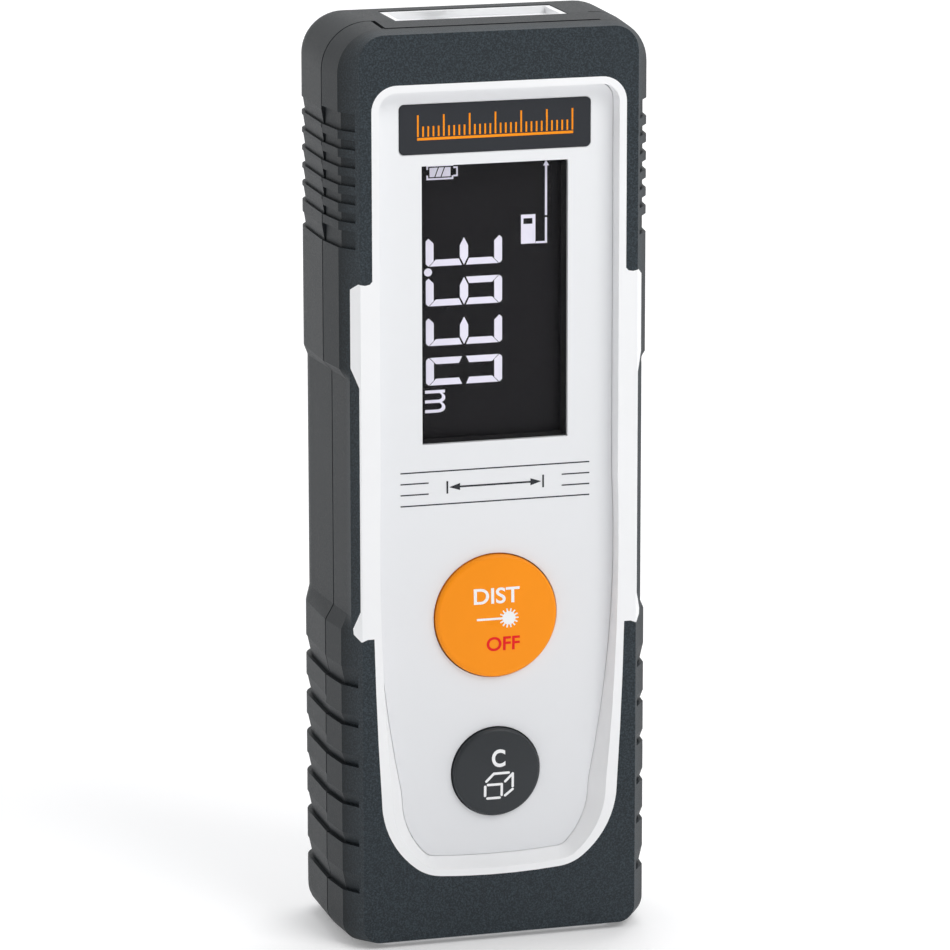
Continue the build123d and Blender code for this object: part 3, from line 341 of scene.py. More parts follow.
def face_film():
    material, tree, shader, where = start_finish("face_film")
    low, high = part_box("face_plate")
    height = add_range(tree, split_axes(tree, where)["Z"], low.z, high.z, 0.0, 1.0)
    # Painted shade: the colour runs from the lighter top down to the darker foot.
    tree.links.new(add_mix(tree, height, FACE_SHADED_FOOT, FACE_LIT_TOP), shader.inputs["Base Color"])
    grain = add_noise(tree, where, 0.2, 2.0)
    tree.links.new(add_range(tree, grain, 0.3, 0.7, 0.4, 0.5), shader.inputs["Roughness"])
    add_bump(tree, shader, grain, 0.002)
    return material


finishes["face_grey"] = face_film()

# %% [markdown]
# ## Clear pieces and the display
# The pane over the display is thin and flat, so it only dims and reflects a little. A full glass
# shader would bend light twice and darken what is under it, so a nearly clear Alpha is used. The
# display is black glass with a faint violet cast, and its lit marks glow a little by themselves.

# %% Clear pieces, display and light guide
def clear_pane(name, colour, alpha, rough, tint_size):
    material, tree, shader, where = start_finish(name)
    haze = add_noise(tree, where, tint_size, 2.0)
    tree.links.new(add_mix(tree, haze, shaded(colour, 0.9), colour), shader.inputs["Base Color"])
    tree.links.new(add_range(tree, haze, 0.3, 0.7, rough, rough + 0.04), shader.inputs["Roughness"])
    set_sockets(shader, {"Alpha": alpha, "IOR": 1.49})
    return material


def display_black():
    material, tree, shader, where = start_finish("display_black")
    cells = tree.nodes.new("ShaderNodeTexVoronoi")
    cells.inputs["Scale"].default_value = 1.0 / (0.2 * MM)
    tree.links.new(where, cells.inputs["Vector"])
    speck = add_range(tree, cells.outputs["Distance"], 0.0, 0.8, 0.0, 1.0)
    tree.links.new(add_mix(tree, speck, (0.0085, 0.008, 0.0095), (0.012, 0.0115, 0.0135)),
                   shader.inputs["Base Color"])
    tree.links.new(add_range(tree, speck, 0.0, 1.0, 0.22, 0.3), shader.inputs["Roughness"])
    set_sockets(shader, {"Specular IOR Level": 0.1})
    return material


def lit_milk():
    material, tree, shader, where = start_finish("lit_milk")
    cloud = add_noise(tree, where, 2.5, 2.0)
    tone = add_mix(tree, cloud, (0.70, 0.68, 0.80), (0.80, 0.78, 0.88))
    tree.links.new(tone, shader.inputs["Base Color"])
    tree.links.new(add_range(tree, cloud, 0.3, 0.7, 0.35, 0.45), shader.inputs["Roughness"])
    set_sockets(shader, {"Emission Color": (0.84, 0.81, 0.95, 1), "Emission Strength": 0.3})
    return material


finishes["clear_pane"] = clear_pane("clear_pane", (0.005, 0.005, 0.006), 0.05, 0.03, 30.0)
finishes["lens_glass"] = clear_pane("coated_lens", (0.10, 0.16, 0.30), 0.45, 0.02, 4.0)
finishes["display_black"] = display_black()
finishes["light_guide"] = lit_milk()

# %% [markdown]
# ## Metals
# Springs, cans, screws and the laser's barrel are metal. Plating is smooth with faint clouds, and a
# turned or blackened piece is rougher. Stretching the noise along one axis gives the brushed look.

# %% Metals
def metal(name, colour, rough, brush_mm, stretch=(1, 1, 1), depth_mm=0.002):
    material, tree, shader, where = start_finish(name)
    mapping = tree.nodes.new("ShaderNodeMapping")
    mapping.inputs["Scale"].default_value = stretch
    tree.links.new(where, mapping.inputs["Vector"])
    marks = add_noise(tree, mapping.outputs["Vector"], brush_mm, 3.0)
    tree.links.new(add_mix(tree, marks, shaded(colour, 0.85), colour), shader.inputs["Base Color"])
    tree.links.new(add_range(tree, marks, 0.3, 0.7, rough - 0.06, rough + 0.08), shader.inputs["Roughness"])
    add_bump(tree, shader, marks, depth_mm)
    set_sockets(shader, {"Metallic": 1.0})
    return material


finishes["spring_steel"] = metal("nickel_plate", (0.74, 0.73, 0.70), 0.24, 0.6)
finishes["can_metal"] = metal("plated_can", (0.66, 0.64, 0.58), 0.3, 0.3, (1, 1, 0.2))
finishes["barrel_brass"] = metal("turned_brass", (0.70, 0.49, 0.18), 0.28, 0.25, (0.2, 0.2, 1))
finishes["screw_steel"] = metal("black_steel", (0.16, 0.16, 0.17), 0.4, 0.2, (1, 0.3, 1))

# %% [markdown]
# ## Circuit boards and cells
# A board is green lacquer over copper tracks, which show as slightly raised paler lines. A brick
# pattern makes such lines from one node. A cell has a printed sleeve with a copper-coloured band at
# its positive end; which end that is comes from the height, because the two cells point opposite ways.

# %% Circuit boards
def board_lacquer():
    material, tree, shader, where = start_finish("board_lacquer")
    mapping = tree.nodes.new("ShaderNodeMapping")
    mapping.inputs["Rotation"].default_value = (radians(90), 0, 0)
    tree.links.new(where, mapping.inputs["Vector"])
    tracks = tree.nodes.new("ShaderNodeTexBrick")
    tracks.inputs["Scale"].default_value = 1.0
    tracks.inputs["Brick Width"].default_value = 5.2 * MM
    tracks.inputs["Row Height"].default_value = 1.1 * MM
    tracks.inputs["Mortar Size"].default_value = 0.12 * MM
    tracks.inputs["Mortar Smooth"].default_value = 0.1
    tree.links.new(mapping.outputs["Vector"], tracks.inputs["Vector"])
    tree.links.new(add_mix(tree, tracks.outputs["Fac"], (0.012, 0.13, 0.05), (0.05, 0.27, 0.10)),
                   shader.inputs["Base Color"])
    tree.links.new(add_range(tree, tracks.outputs["Fac"], 0, 1, 0.28, 0.36), shader.inputs["Roughness"])
    add_bump(tree, shader, tracks.outputs["Fac"], 0.03)
    return material


finishes["board_green"] = board_lacquer()

# %% Cell sleeves
SLEEVE = (0.035, 0.09, 0.24)
COPPER = (0.72, 0.33, 0.12)
CASE_STEEL = (0.72, 0.71, 0.68)
NUB_MM = 0.9
BAND_MM = 9.0


def cell_sleeve(node, positive_up):
    """Blue sleeve, copper band at the positive end, bare metal at both ends."""
    material, tree, shader, where = start_finish(node + "_sleeve")
    low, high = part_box(node)
    height = split_axes(tree, where)["Z"]
    sign = 1 if positive_up else -1
    plus = high.z if positive_up else low.z
    minus = low.z if positive_up else high.z
    edge = 0.05 * MM
    band_at = plus - sign * (NUB_MM + BAND_MM) * MM
    nub_at = plus - sign * NUB_MM * MM
    foot_at = minus + sign * 0.5 * MM
    band = add_range(tree, height, band_at - sign * edge, band_at + sign * edge, 0, 1)
    nub = add_range(tree, height, nub_at - sign * edge, nub_at + sign * edge, 0, 1)
    foot = add_range(tree, height, foot_at + sign * edge, foot_at - sign * edge, 0, 1)
    bare = add_math(tree, "MAXIMUM", nub, foot)
    colour = add_mix(tree, bare, add_mix(tree, band, SLEEVE, COPPER), CASE_STEEL)
    tree.links.new(colour, shader.inputs["Base Color"])
    tree.links.new(add_math(tree, "MAXIMUM", bare, add_math(tree, "MULTIPLY", band, 0.6)),
                   shader.inputs["Metallic"])
    wrap = add_noise(tree, where, 1.5)
    tree.links.new(add_range(tree, wrap, 0.3, 0.7, 0.22, 0.34), shader.inputs["Roughness"])
    add_bump(tree, shader, wrap, 0.01)
    return material


# %% [markdown]
# ## Dress the CAD nodes
# The record says which slot each node takes its finish from, so one loop dresses them all. Only the
# material in the slot changes: the meshes stay exactly as CAD made them.

# %% Dress the CAD nodes
slot_of = {row["node"]: row["material_slot"] for row in frame["record"]["subparts"]}


def dress(node, material):
    for slot in nodes[node].material_slots:
        slot.material = material


for node, slot in slot_of.items():
    if slot != "cell_jacket":
        dress(node, finishes[slot])
dress("left_cell", cell_sleeve("left_cell", True))
dress("right_cell", cell_sleeve("right_cell", False))
finishes["cell_jacket"] = nodes["left_cell"].material_slots[0].material
print("dressed:", len(slot_of), "nodes with", len(finishes), "finishes")

# %% [markdown]
# ## Flat marks
# Printed marks are ink a few hundredths of a millimetre thick. Each is built as flat outlines in the
# face's own plane, with x to the right and z up, and then given a thickness towards the viewer. One
# helper turns any list of outlines into a closed mesh at a given depth, and can bend it over a
# crowned key.

# %% Helpers for marks
INK = 0.03


def add_piece(name, mesh, body, slot, smooth=False):
    """Make a finished mesh an object that rides on a body and takes its finish from a slot."""
    mesh.name = name
    mesh.polygons.foreach_set("use_smooth", [smooth] * len(mesh.polygons))
    piece = bpy.data.objects.new(name, mesh)
    bpy.context.scene.collection.objects.link(piece)
    mesh.materials.clear()
    mesh.materials.append(finishes[slot])
    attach(piece, body)
    return piece


def thick_ink(outlines, face_y, crown=None):
    """Closed prisms from outlines in millimetres; crown is (centre z, radius) of a domed key."""
    made = bmesh.new()
    for outline in outlines:
        rings = []
        for depth in (face_y - INK, face_y + INK):
            ring = []
            for x, z in outline:
                sag = (x * x + (z - crown[0]) ** 2) / (2 * crown[1]) if crown else 0.0
                ring.append(made.verts.new(Vector((x, depth + sag, z)) * MM))
            rings.append(ring)
        front, back = rings
        made.faces.new(front)
        made.faces.new(reversed(back))
        count = len(front)
        for k in range(count):
            made.faces.new((front[k], back[k], back[(k + 1) % count], front[(k + 1) % count]))
    bmesh.ops.recalc_face_normals(made, faces=made.faces)
    mesh = bpy.data.meshes.new("ink")
    made.to_mesh(mesh)
    made.free()
    return mesh


def rectangle(x0, x1, z0, z1):
    return [(x0, z0), (x1, z0), (x1, z1), (x0, z1)]


def disc(x, z, radius, count=40):
    return [(x + radius * cos(2 * pi * k / count), z + radius * sin(2 * pi * k / count))
            for k in range(count)]


def stroke(x0, z0, x1, z1, wide, rounded=True):
    """A straight stroke, with round ends unless told otherwise."""
    angle = atan2(z1 - z0, x1 - x0)
    half = wide / 2
    turns = 8 if rounded else 1
    points = []
    for x, z, start in ((x1, z1, angle - pi / 2), (x0, z0, angle + pi / 2)):
        for k in range(turns + 1):
            turn = start + pi * k / turns
            points.append((x + half * cos(turn), z + half * sin(turn)))
    return points


print("mark helpers ready; ink", 2 * INK, "mm thick")

# %% [markdown]
# ## Lettering
# The keys carry short plain words. Blender's own font is set as a text curve, made a mesh, and only
# then moved to its place, so the finished piece sits at the origin. A small offset of the curve makes
# the bold letters.

# %% Lettering
def lettering(words, wide, tall, centre_x, centre_z, face_y, bold, crown=None, turned=False):
    """A mesh of words fitted to a width and a height in millimetres, upright or reading downwards."""
    curve = bpy.data.curves.new("words", "FONT")
    curve.body = words
    curve.size = 1.0
    curve.offset = bold
    curve.extrude = 0.0
    curve.fill_mode = "FRONT"
    writer = bpy.data.objects.new("writer", curve)
    bpy.context.scene.collection.objects.link(writer)
    graph = bpy.context.evaluated_depsgraph_get()
    flat = bpy.data.meshes.new_from_object(writer.evaluated_get(graph))
    bpy.data.objects.remove(writer)
    made = bmesh.new()
    made.from_mesh(flat)
    bmesh.ops.remove_doubles(made, verts=made.verts, dist=1e-5)
    xs = [vertex.co.x for vertex in made.verts]
    ys = [vertex.co.y for vertex in made.verts]
    middle = ((min(xs) + max(xs)) / 2, (min(ys) + max(ys)) / 2)
    grow_x = wide / (max(xs) - min(xs))
    grow_y = tall / (max(ys) - min(ys))
    for vertex in made.verts:
        along = (vertex.co.x - middle[0]) * grow_x
        up = (vertex.co.y - middle[1]) * grow_y
        x, z = (centre_x + up, centre_z - along) if turned else (centre_x + along, centre_z + up)
        sag = (x * x + (z - crown[0]) ** 2) / (2 * crown[1]) if crown else 0.0
        vertex.co = Vector((x, face_y + sag + INK, z)) * MM
    faces = bmesh.ops.extrude_face_region(made, geom=made.faces[:])
    raised = [item for item in faces["geom"] if isinstance(item, bmesh.types.BMVert)]
    bmesh.ops.translate(made, verts=raised, vec=Vector((0, -2 * INK * MM, 0)))
    bmesh.ops.recalc_face_normals(made, faces=made.faces)
    made.to_mesh(flat)
    made.free()
    return flat


# %% [markdown]
# ## Rows that repeat
# Ticks on a rule, printed lines and the legs of a chip all repeat one small bar at an even pitch. A
# Geometry Nodes tree says that once: a Mesh Line gives the points, and each point gets a bar. Every
# so many bars, one is longer. The result is made a plain mesh before anything else touches it.

# %% A tree for rows of bars
def open_tree(name, inputs):
    tree = bpy.data.node_groups.new(name, "GeometryNodeTree")
    tree.interface.new_socket("Geometry", in_out="OUTPUT", socket_type="NodeSocketGeometry")
    for label, kind, value in inputs:
        socket = tree.interface.new_socket(label, in_out="INPUT", socket_type="NodeSocket" + kind)
        if value is not None:
            socket.default_value = value
    return tree, tree.nodes.new("NodeGroupInput").outputs, tree.nodes.new("NodeGroupOutput").inputs


def close_tree(tree, instances, material_input, end):
    """Finish a tree with Realize Instances and Set Material."""
    realize = tree.nodes.new("GeometryNodeRealizeInstances")
    paint = tree.nodes.new("GeometryNodeSetMaterial")
    tree.links.new(instances, realize.inputs[0])
    tree.links.new(realize.outputs[0], paint.inputs["Geometry"])
    tree.links.new(material_input, paint.inputs["Material"])
    tree.links.new(paint.outputs[0], end["Geometry"])


def row_tree():
    tree, given, end = open_tree("row_of_bars", [
        ("Count", "Int", 5), ("Start", "Vector", (0, 0, 0)), ("Step", "Vector", (MM, 0, 0)),
        ("Bar", "Vector", (MM, MM, MM)), ("Every", "Int", 5), ("Longer", "Float", 1.0),
        ("Material", "Material", None)])
    line = tree.nodes.new("GeometryNodeMeshLine")
    bar = tree.nodes.new("GeometryNodeMeshCube")
    put = tree.nodes.new("GeometryNodeInstanceOnPoints")
    index = tree.nodes.new("GeometryNodeInputIndex")
    turn = tree.nodes.new("ShaderNodeMath")
    turn.operation = "MODULO"
    first = tree.nodes.new("ShaderNodeMath")
    first.operation = "LESS_THAN"
    first.inputs[1].default_value = 0.5
    size = tree.nodes.new("ShaderNodeMapRange")
    scale = tree.nodes.new("ShaderNodeCombineXYZ")
    scale.inputs["X"].default_value = 1.0
    scale.inputs["Y"].default_value = 1.0
    size.inputs["To Min"].default_value = 1.0
    tree.links.new(given["Count"], line.inputs["Count"])
    tree.links.new(given["Start"], line.inputs["Start Location"])
    tree.links.new(given["Step"], line.inputs["Offset"])
    tree.links.new(given["Bar"], bar.inputs["Size"])
    tree.links.new(index.outputs[0], turn.inputs[0])
    tree.links.new(given["Every"], turn.inputs[1])
    tree.links.new(turn.outputs[0], first.inputs[0])
    tree.links.new(first.outputs[0], size.inputs["Value"])
    tree.links.new(given["Longer"], size.inputs["To Max"])
    tree.links.new(size.outputs["Result"], scale.inputs["Z"])
    tree.links.new(line.outputs["Mesh"], put.inputs["Points"])
    tree.links.new(bar.outputs["Mesh"], put.inputs["Instance"])
    tree.links.new(scale.outputs[0], put.inputs["Scale"])
    close_tree(tree, put.outputs[0], given["Material"], end)
    return tree


def run_tree(tree, values):
    """Evaluate a tree once and return its result as a plain mesh."""
    maker = bpy.data.objects.new("maker", bpy.data.meshes.new("maker"))
    bpy.context.scene.collection.objects.link(maker)
    modifier = maker.modifiers.new("rule", "NODES")
    modifier.node_group = tree
    for item in tree.interface.items_tree:
        if item.in_out == "INPUT" and item.name in values:
            modifier[item.identifier] = values[item.name]
    graph = bpy.context.evaluated_depsgraph_get()
    mesh = bpy.data.meshes.new_from_object(maker.evaluated_get(graph))
    maker.modifiers.remove(modifier)
    bpy.data.objects.remove(maker)
    return mesh


ROWS = row_tree()


def row(count, start, step, bar, slot, every=1000, longer=1.0):
    """A row of bars from sizes in millimetres."""
    return run_tree(ROWS, {"Count": count, "Start": Vector(start) * MM, "Step": Vector(step) * MM,
                           "Bar": Vector(bar) * MM, "Every": every, "Longer": longer,
                           "Material": finishes[slot]})


def joined(meshes):
    """Several meshes made one."""
    made = bmesh.new()
    for mesh in meshes:
        made.from_mesh(mesh)
    whole = bpy.data.meshes.new("joined")
    made.to_mesh(whole)
    made.free()
    return whole


print("row tree inputs:", [item.name for item in ROWS.interface.items_tree if item.in_out == "INPUT"])

# %% [markdown]
# ## Lines on the face
# Four fine lines are printed under the display, the middle two broken in the middle. Between them
# stands a plain measuring arrow with two end ticks, drawn from strokes and triangles.

# %% Lines on the face
face_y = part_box("face_plate")[0].y / MM
LINE_HALF = 11.53
LINE_TOP = 57.24
LINE_PITCH = 1.323
LINE_SHORT = 3.4
LINE_WIDE = 0.14

inner_x = LINE_HALF - LINE_SHORT / 2
outer_pair = row(2, (0, face_y, LINE_TOP), (0, 0, -3 * LINE_PITCH), (2 * LINE_HALF, 2 * INK, LINE_WIDE),
                 "name_black")
inner_pairs = [row(2, (side * inner_x, face_y, LINE_TOP - LINE_PITCH), (0, 0, -LINE_PITCH),
                   (LINE_SHORT, 2 * INK, LINE_WIDE), "name_black") for side in (-1, 1)]
add_piece("face_lines", joined([outer_pair] + inner_pairs), "case", "name_black")

ARROW_HALF = 5.6
ARROW_HEAD = 1.3
ARROW_TALL = 0.42
arrow_z = LINE_TOP - 1.5 * LINE_PITCH
arrow = [stroke(-ARROW_HALF + ARROW_HEAD, arrow_z, ARROW_HALF - ARROW_HEAD, arrow_z, 0.2, False)]
for side in (-1, 1):
    tip = side * ARROW_HALF
    neck = side * (ARROW_HALF - ARROW_HEAD)
    arrow.append([(tip, arrow_z), (neck, arrow_z + ARROW_TALL), (neck, arrow_z - ARROW_TALL)])
    arrow.append(stroke(tip + side * 0.25, arrow_z - 0.75, tip + side * 0.25, arrow_z + 0.75, 0.2, False))
add_piece("face_arrow", thick_ink(arrow, face_y), "case", "name_black")
print("face lines from z", LINE_TOP, "to", round(LINE_TOP - 3 * LINE_PITCH, 2), "mm")

# %% [markdown]
# ## The rule on the nameplate
# The dark plate above the display carries an orange rule: even ticks, each fifth one longer, on a
# base line. It is the row tree again, with its Every and Longer inputs.

# %% Rule on the nameplate
name_low, name_high = (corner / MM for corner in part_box("nameplate"))
RULE_TICKS = 31
RULE_PITCH = 0.62
RULE_TICK = (0.2, 2 * INK, 1.2)
TICK_LONGER = 2.1
rule_y = name_low.y
rule_z = (name_low.z + name_high.z) / 2 - 0.85
rule_half = RULE_PITCH * (RULE_TICKS - 1) / 2
ticks = row(RULE_TICKS, (-rule_half, rule_y, 0), (RULE_PITCH, 0, 0), RULE_TICK, "orange_key", 5,
            TICK_LONGER)
tick_half = RULE_TICK[2] / 2
for vertex in ticks.vertices:
    long_tick = abs(vertex.co.z) > 0.7 * MM
    half_now = tick_half * TICK_LONGER if long_tick else tick_half
    vertex.co.z += (half_now + rule_z) * MM
base_outline = rectangle(-rule_half - 0.1, rule_half + 0.1, rule_z - 0.42, rule_z - 0.12)
base_line = thick_ink([base_outline], rule_y)
add_piece("nameplate_rule", joined([ticks, base_line]), "case", "orange_key")
print("rule ticks:", RULE_TICKS, " pitch:", RULE_PITCH, "mm")

# %% [markdown]
# ## The display's figures
# A reading is made of seven bars for each figure. The bars are flat outlines with mitred ends, so a
# thin dark gap shows where two meet. The meter is read lying on its side: the figures' tops point to
# +X, and the reading runs downwards.

# %% Seven-bar figures
glass_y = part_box("display_glass")[0].y / MM
FIGURE_LONG = 3.3
FIGURE_TALL = 9.25
FIGURE_PITCH = 4.72
FIGURE_X = -7.67
FIGURE_Z = 84.43
POINT_AT = (-7.39, 80.45)
POINT_RADIUS = 0.48
BARS_LIT = {"0": "abcdef", "3": "abcdg", "9": "abcdfg"}

middle = FIGURE_TALL / 2
FOOT_BAR = [(0.3, 0), (0, 0.33), (0.6, 0.95), (FIGURE_LONG - 0.6, 0.95), (FIGURE_LONG, 0.33),
            (FIGURE_LONG - 0.3, 0)]
SIDE_BAR = [(0, 0.45), (0, middle - 0.25), (0.78, middle - 0.62), (0.78, 1.22)]
MIDDLE_BAR = [(0.03, middle), (0.98, middle + 0.5), (FIGURE_LONG - 0.98, middle + 0.5),
              (FIGURE_LONG - 0.03, middle), (FIGURE_LONG - 0.98, middle - 0.5), (0.98, middle - 0.5)]


def over(bar):
    """A bar mirrored to the other end of the figure."""
    return [(u, FIGURE_TALL - v) for u, v in bar]


def across(bar):
    """A bar mirrored to the other side of the figure."""
    return [(FIGURE_LONG - u, v) for u, v in bar]


BARS = {"a": over(FOOT_BAR), "d": FOOT_BAR, "g": MIDDLE_BAR, "e": SIDE_BAR, "f": over(SIDE_BAR),
        "c": across(SIDE_BAR), "b": over(across(SIDE_BAR))}

figures = []
for place, figure in enumerate("3930"):
    start_z = FIGURE_Z - place * FIGURE_PITCH
    for bar in BARS_LIT[figure]:
        figures.append([(FIGURE_X + v, start_z - u) for u, v in BARS[bar]])
figures.append(disc(*POINT_AT, POINT_RADIUS))
add_piece("display_figures", thick_ink(figures, glass_y), "case", "light_guide")
unit = lettering("m", 2.7, 2.45, -6.57, 65.05, glass_y, 0.0, turned=True)
add_piece("display_unit", unit, "case", "light_guide")
print("lit bars:", len(figures) - 1)

# %% [markdown]
# ## The display's signs
# In the corner is a battery with three slanted bars. Beside the reading a small outline of the meter
# stands at the foot of a tall arrow, which shows which edge the distance is measured from.

# %% Battery sign, meter sign and arrow
BATTERY_X0, BATTERY_X1 = -7.55, -4.3
BATTERY_Z0, BATTERY_Z1 = 91.33, 93.1
SIGN_LINE = 0.2


def battery_sign():
    """An outline open at the middle of its left side, a hollow nub and three slanted blocks."""
    x0, x1, z0, z1, w = BATTERY_X0, BATTERY_X1, BATTERY_Z0, BATTERY_Z1, SIGN_LINE
    lines = [rectangle(x0, x1, z0, z0 + w), rectangle(x0, x1, z1 - w, z1),
             rectangle(x0, x0 + w, z0 + w, z0 + 0.55), rectangle(x0, x0 + w, z1 - 0.55, z1 - w),
             rectangle(x1 - w, x1, z0 + w, z0 + 0.42), rectangle(x1, x1 + 0.35, z0 + 0.3, z0 + 0.3 + w),
             rectangle(x1 + 0.35, x1 + 0.53, z0 + 0.3, z1 - 0.3),
             rectangle(x1, x1 + 0.35, z1 - 0.3 - w, z1 - 0.3)]
    low, high = z0 + 0.34, z1 - 0.34
    cuts = [(x0 + 0.38, x0 + 0.38), (x0 + 1.02, x0 + 1.44), (x0 + 1.76, x0 + 2.18), (x0 + 2.9, x0 + 2.9)]
    for k in range(3):
        gap_low = 0.07 if k else 0.0
        gap_high = 0.07 if k < 2 else 0.0
        (foot0, head0), (foot1, head1) = cuts[k], cuts[k + 1]
        lines.append([(foot0 + gap_low, low), (foot1 - gap_high, low), (head1 - gap_high, high),
                      (head0 + gap_low, high)])
    return lines


def meter_sign():
    """The filled meter with its display left dark, as four bars round a hole."""
    x0, x1, z0, z1 = 3.89, 5.64, 83.23, 86.68
    hole = (4.18, 5.28, 85.56, 86.24)
    return [rectangle(x0, x1, z0, hole[2]), rectangle(x0, x1, hole[3], z1),
            rectangle(x0, hole[0], hole[2], hole[3]), rectangle(hole[1], x1, hole[2], hole[3])]


def range_arrow():
    x, half = 6.93, 0.13
    return [rectangle(5.69, x + half, 83.2, 83.44), rectangle(x - half, x + half, 83.44, 86.25),
            rectangle(x - half, x + half, 86.5, 92.4), [(x - 0.37, 92.37), (x + 0.37, 92.37), (x, 93.0)]]


signs = battery_sign() + meter_sign() + range_arrow()
add_piece("display_signs", thick_ink(signs, glass_y), "case", "light_guide")
print("signs:", len(signs), "outlines")

# %% [markdown]
# ## Marks on the keys
# The orange key switches the laser on: it has a white word, and a beam that ends in a burst. The
# burst's rays are one small ray turned about the centre, made by a second tree. The key is slightly
# domed, so every mark follows the dome, worked out from the key's radius and its crown.

# %% Crown of a key
KEY_CROWN = 0.35
KEY_FLANGE = 0.8


def key_shape(node):
    """Centre height, face depth and radius of the dome of a key, in millimetres."""
    low, high = (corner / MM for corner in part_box(node))
    radius = (high.x - low.x) / 2 - KEY_FLANGE
    dome = (radius ** 2 + KEY_CROWN ** 2) / (2 * KEY_CROWN)
    return (low.z + high.z) / 2, low.y, dome


measure_z, measure_y, measure_dome = key_shape("measure_button")
clear_z, clear_y, clear_dome = key_shape("clear_button")
print("keys at z:", round(measure_z, 2), round(clear_z, 2))
print("dome radii:", round(measure_dome, 1), round(clear_dome, 1))


# %% A tree for rays
def ray_tree():
    tree, given, end = open_tree("burst_of_rays", [
        ("Count", "Int", 14), ("Inner", "Float", MM), ("Size", "Vector", (MM, MM, MM)),
        ("Material", "Material", None)])
    points = tree.nodes.new("GeometryNodePoints")
    bar = tree.nodes.new("GeometryNodeMeshCube")
    out = tree.nodes.new("ShaderNodeCombineXYZ")
    shift = tree.nodes.new("GeometryNodeTransform")
    index = tree.nodes.new("GeometryNodeInputIndex")
    part = tree.nodes.new("ShaderNodeMath")
    part.operation = "DIVIDE"
    whole = tree.nodes.new("ShaderNodeMath")
    whole.operation = "MULTIPLY"
    whole.inputs[1].default_value = 2 * pi
    turn = tree.nodes.new("ShaderNodeCombineXYZ")
    put = tree.nodes.new("GeometryNodeInstanceOnPoints")
    tree.links.new(given["Count"], points.inputs["Count"])
    tree.links.new(given["Size"], bar.inputs["Size"])
    tree.links.new(given["Inner"], out.inputs["X"])
    tree.links.new(bar.outputs["Mesh"], shift.inputs["Geometry"])
    tree.links.new(out.outputs[0], shift.inputs["Translation"])
    tree.links.new(index.outputs[0], part.inputs[0])
    tree.links.new(given["Count"], part.inputs[1])
    tree.links.new(part.outputs[0], whole.inputs[0])
    tree.links.new(whole.outputs[0], turn.inputs["Y"])
    tree.links.new(points.outputs[0], put.inputs["Points"])
    tree.links.new(shift.outputs[0], put.inputs["Instance"])
    tree.links.new(turn.outputs[0], put.inputs["Rotation"])
    close_tree(tree, put.outputs[0], given["Material"], end)
    return tree


RAYS = ray_tree()

# %% Orange key
BURST_X = 1.38
BURST_Z = -0.2
WHITE_LINE = 0.26

rays = run_tree(RAYS, {"Count": 14, "Inner": 0.92 * MM, "Size": Vector((0.52, 2 * INK, 0.17)) * MM,
                       "Material": finishes["white_shell"]})
for vertex in rays.vertices:
    x = vertex.co.x / MM + BURST_X
    z = vertex.co.z / MM + BURST_Z
    vertex.co.x = x * MM
    vertex.co.y += (measure_y + (x * x + z * z) / (2 * measure_dome)) * MM
    vertex.co.z = (z + measure_z) * MM
crown = (measure_z, measure_dome)
beam = [disc(BURST_X, measure_z + BURST_Z, 0.8),
        stroke(-2.55, measure_z + BURST_Z, BURST_X - 0.7, measure_z + BURST_Z, WHITE_LINE, False)]
word = lettering("DIST", 5.6, 1.92, -0.1, measure_z + 2.6, measure_y, 0.016, crown)
marks = joined([thick_ink(beam, measure_y, crown), rays, word])
add_piece("measure_key_marks", marks, "measure_key", "white_shell")
off_word = lettering("OFF", 4.07, 1.72, 0.7, measure_z - 3.28, measure_y, 0.018, crown)
add_piece("measure_key_off", off_word, "measure_key", "lead_red")

# %% [markdown]
# The dark key clears a value. It has one letter and a cube drawn from separate strokes, with small
# gaps at the corners: the near face is a square, and the far edges are the same square moved up and
# to the right.

# %% Dark key
CUBE_LINE = 0.3
CUBE_PATHS = [
    [(-1.54, -1.58), (-1.54, -2.72)],
    [(-1.2, -1.4), (0.5, -1.4), (0.5, -2.75)],
    [(-1.25, -3.08), (0.25, -3.08)],
    [(-1.4, -0.95), (-0.48, -0.05), (1.35, -0.05)],
    [(0.92, -1.1), (1.86, -0.2), (1.86, -1.78)],
    [(0.92, -2.85), (1.86, -2.14)],
]


def cube_strokes():
    """Each path's strokes; round ends fill the turn where two strokes meet."""
    return [stroke(x0, z0 + clear_z, x1, z1 + clear_z, CUBE_LINE)
            for path in CUBE_PATHS for (x0, z0), (x1, z1) in zip(path, path[1:])]


crown = (clear_z, clear_dome)
letter = lettering("C", 1.66, 2.15, 0.12, clear_z + 1.79, clear_y, 0.028, crown)
add_piece("clear_key_marks", joined([letter, thick_ink(cube_strokes(), clear_y, crown)]), "clear_key",
          "white_shell")
print("key marks placed")

# %% [markdown]
# ## Marks on the rear label
# The label on the back says how to lay the two cells: each is an outline with its cap, one turned up
# and one turned down, with a plus and a minus. Above and below them stand rows of fine bars in place
# of small print. The ink stands just proud of the label, which lies a little under the back face.

# %% Rear label
label_low, label_high = (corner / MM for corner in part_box("rear_label"))
label_y = label_high.y
LABEL_LINE = 0.28
SIGN_X = 4.6
SIGN_HALF = 2.1
SIGN_TALL = 9.6
CAP_HALF = 0.8
CAP_TALL = 0.8
PLUS_INSET = 2.0
PLUS_ARM = 0.8
PRINT_PITCH = 1.05
PRINT_MARGIN = 1.6
PRINT_EDGE = 1.4
sign_low = (label_low.z + label_high.z - SIGN_TALL) / 2


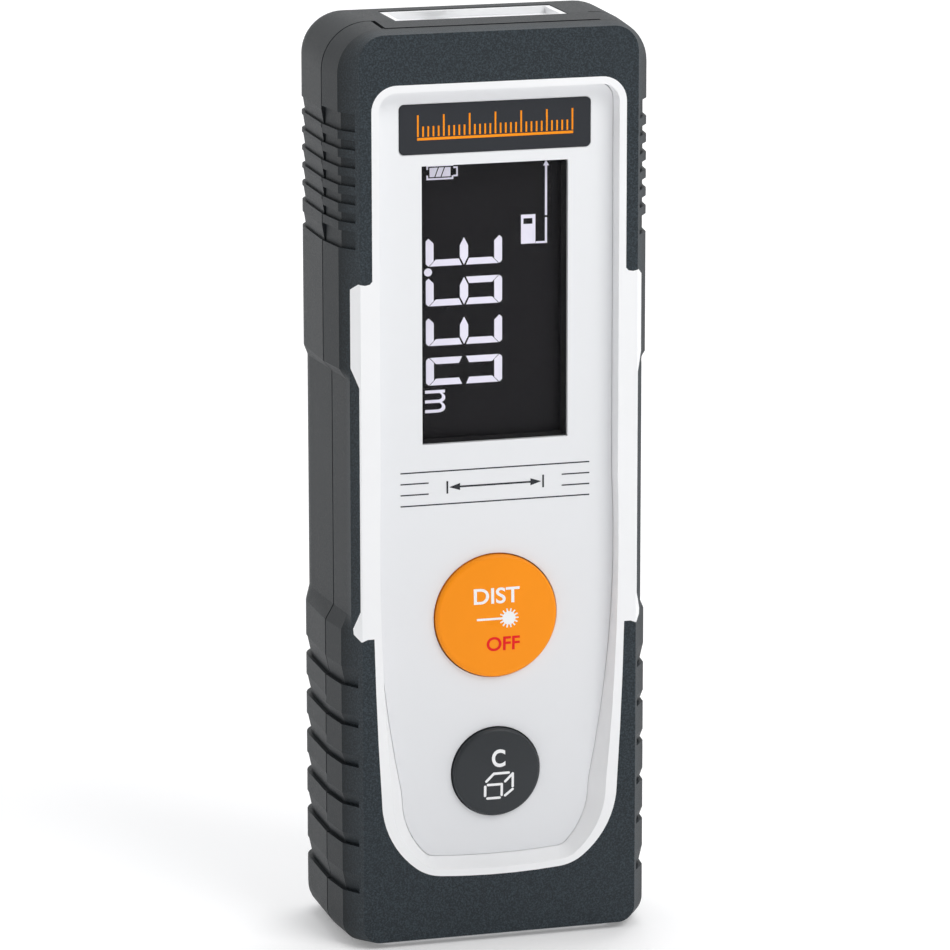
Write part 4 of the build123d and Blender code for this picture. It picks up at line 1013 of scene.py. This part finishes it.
def cell_sign(x, up):
    """A cell's outline, cap, plus at the cap and minus at the other end."""
    low, high = sign_low, sign_low + SIGN_TALL
    corners = [(x - SIGN_HALF, low), (x + SIGN_HALF, low), (x + SIGN_HALF, high), (x - SIGN_HALF, high)]
    marks = [stroke(*start, *end, LABEL_LINE) for start, end in zip(corners, corners[1:] + corners[:1])]
    cap = (high, high + CAP_TALL) if up else (low - CAP_TALL, low)
    marks.append(rectangle(x - CAP_HALF, x + CAP_HALF, *cap))
    ends = (high - PLUS_INSET, low + PLUS_INSET)
    plus_z, minus_z = ends if up else reversed(ends)
    half = LABEL_LINE / 2
    marks.append(stroke(x - PLUS_ARM, plus_z, x + PLUS_ARM, plus_z, LABEL_LINE, False))
    marks.append(stroke(x, plus_z - PLUS_ARM, x, plus_z - half, LABEL_LINE, False))
    marks.append(stroke(x, plus_z + half, x, plus_z + PLUS_ARM, LABEL_LINE, False))
    marks.append(stroke(x - PLUS_ARM, minus_z, x + PLUS_ARM, minus_z, LABEL_LINE, False))
    return marks


print_wide = label_high.x - label_low.x - 2 * PRINT_MARGIN
print_bar = (print_wide, 2 * INK, LABEL_LINE)
upper_print = row(3, (0, label_y, label_high.z - PRINT_EDGE), (0, 0, -PRINT_PITCH), print_bar, "face_grey")
lower_print = row(3, (0, label_y, label_low.z + PRINT_EDGE), (0, 0, PRINT_PITCH), print_bar, "face_grey")
cell_signs = thick_ink(cell_sign(-SIGN_X, True) + cell_sign(SIGN_X, False), label_y)
add_piece("rear_label_marks", joined([upper_print, lower_print, cell_signs]), "case", "face_grey")

# %% [markdown]
# ## Legs of the chips
# Two square chips and the display's connector are soldered to the board by rows of small flat legs.
# The row tree makes one side of a chip at a time, from the chip's own box, so the legs always meet it.

# %% Chip legs
LEG_PITCH = 0.5
LEG_LONG = 0.45
LEG_WIDE = 0.22
LEG_THICK = 0.15
LEG_SUNK = 0.05
board_front, board_rear = (corner.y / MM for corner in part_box("main_board"))


def legs(name, sides):
    """Rows of legs on the left and right ("x") or the lower and upper ("z") sides of a chip."""
    low, high = (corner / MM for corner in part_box(name))
    in_front = (low.y + high.y) / 2 < board_front
    y = board_front - LEG_THICK / 2 if in_front else board_rear + LEG_THICK / 2
    across, along = ("x", "z") if sides == "x" else ("z", "x")
    span = getattr(high, along) - getattr(low, along)
    count = int(span / LEG_PITCH) - 1
    first = (getattr(low, along) + getattr(high, along) - (count - 1) * LEG_PITCH) / 2
    rows = []
    for edge, out in ((getattr(low, across), -1), (getattr(high, across), 1)):
        place = edge + out * (LEG_LONG / 2 - LEG_SUNK)
        if sides == "x":
            start, step, bar = (place, y, first), (0, 0, LEG_PITCH), (LEG_LONG, LEG_THICK, LEG_WIDE)
        else:
            start, step, bar = (first, y, place), (LEG_PITCH, 0, 0), (LEG_WIDE, LEG_THICK, LEG_LONG)
        rows.append(row(count, start, step, bar, "can_metal"))
    return rows


chip_rows = legs("processor", "x") + legs("processor", "z") + legs("driver_chip", "x")
add_piece("chip_legs", joined(chip_rows), "case", "can_metal")
add_piece("connector_legs", joined(legs("display_connector", "z")), "case", "can_metal")
print("leg rows:", len(chip_rows) + 2)
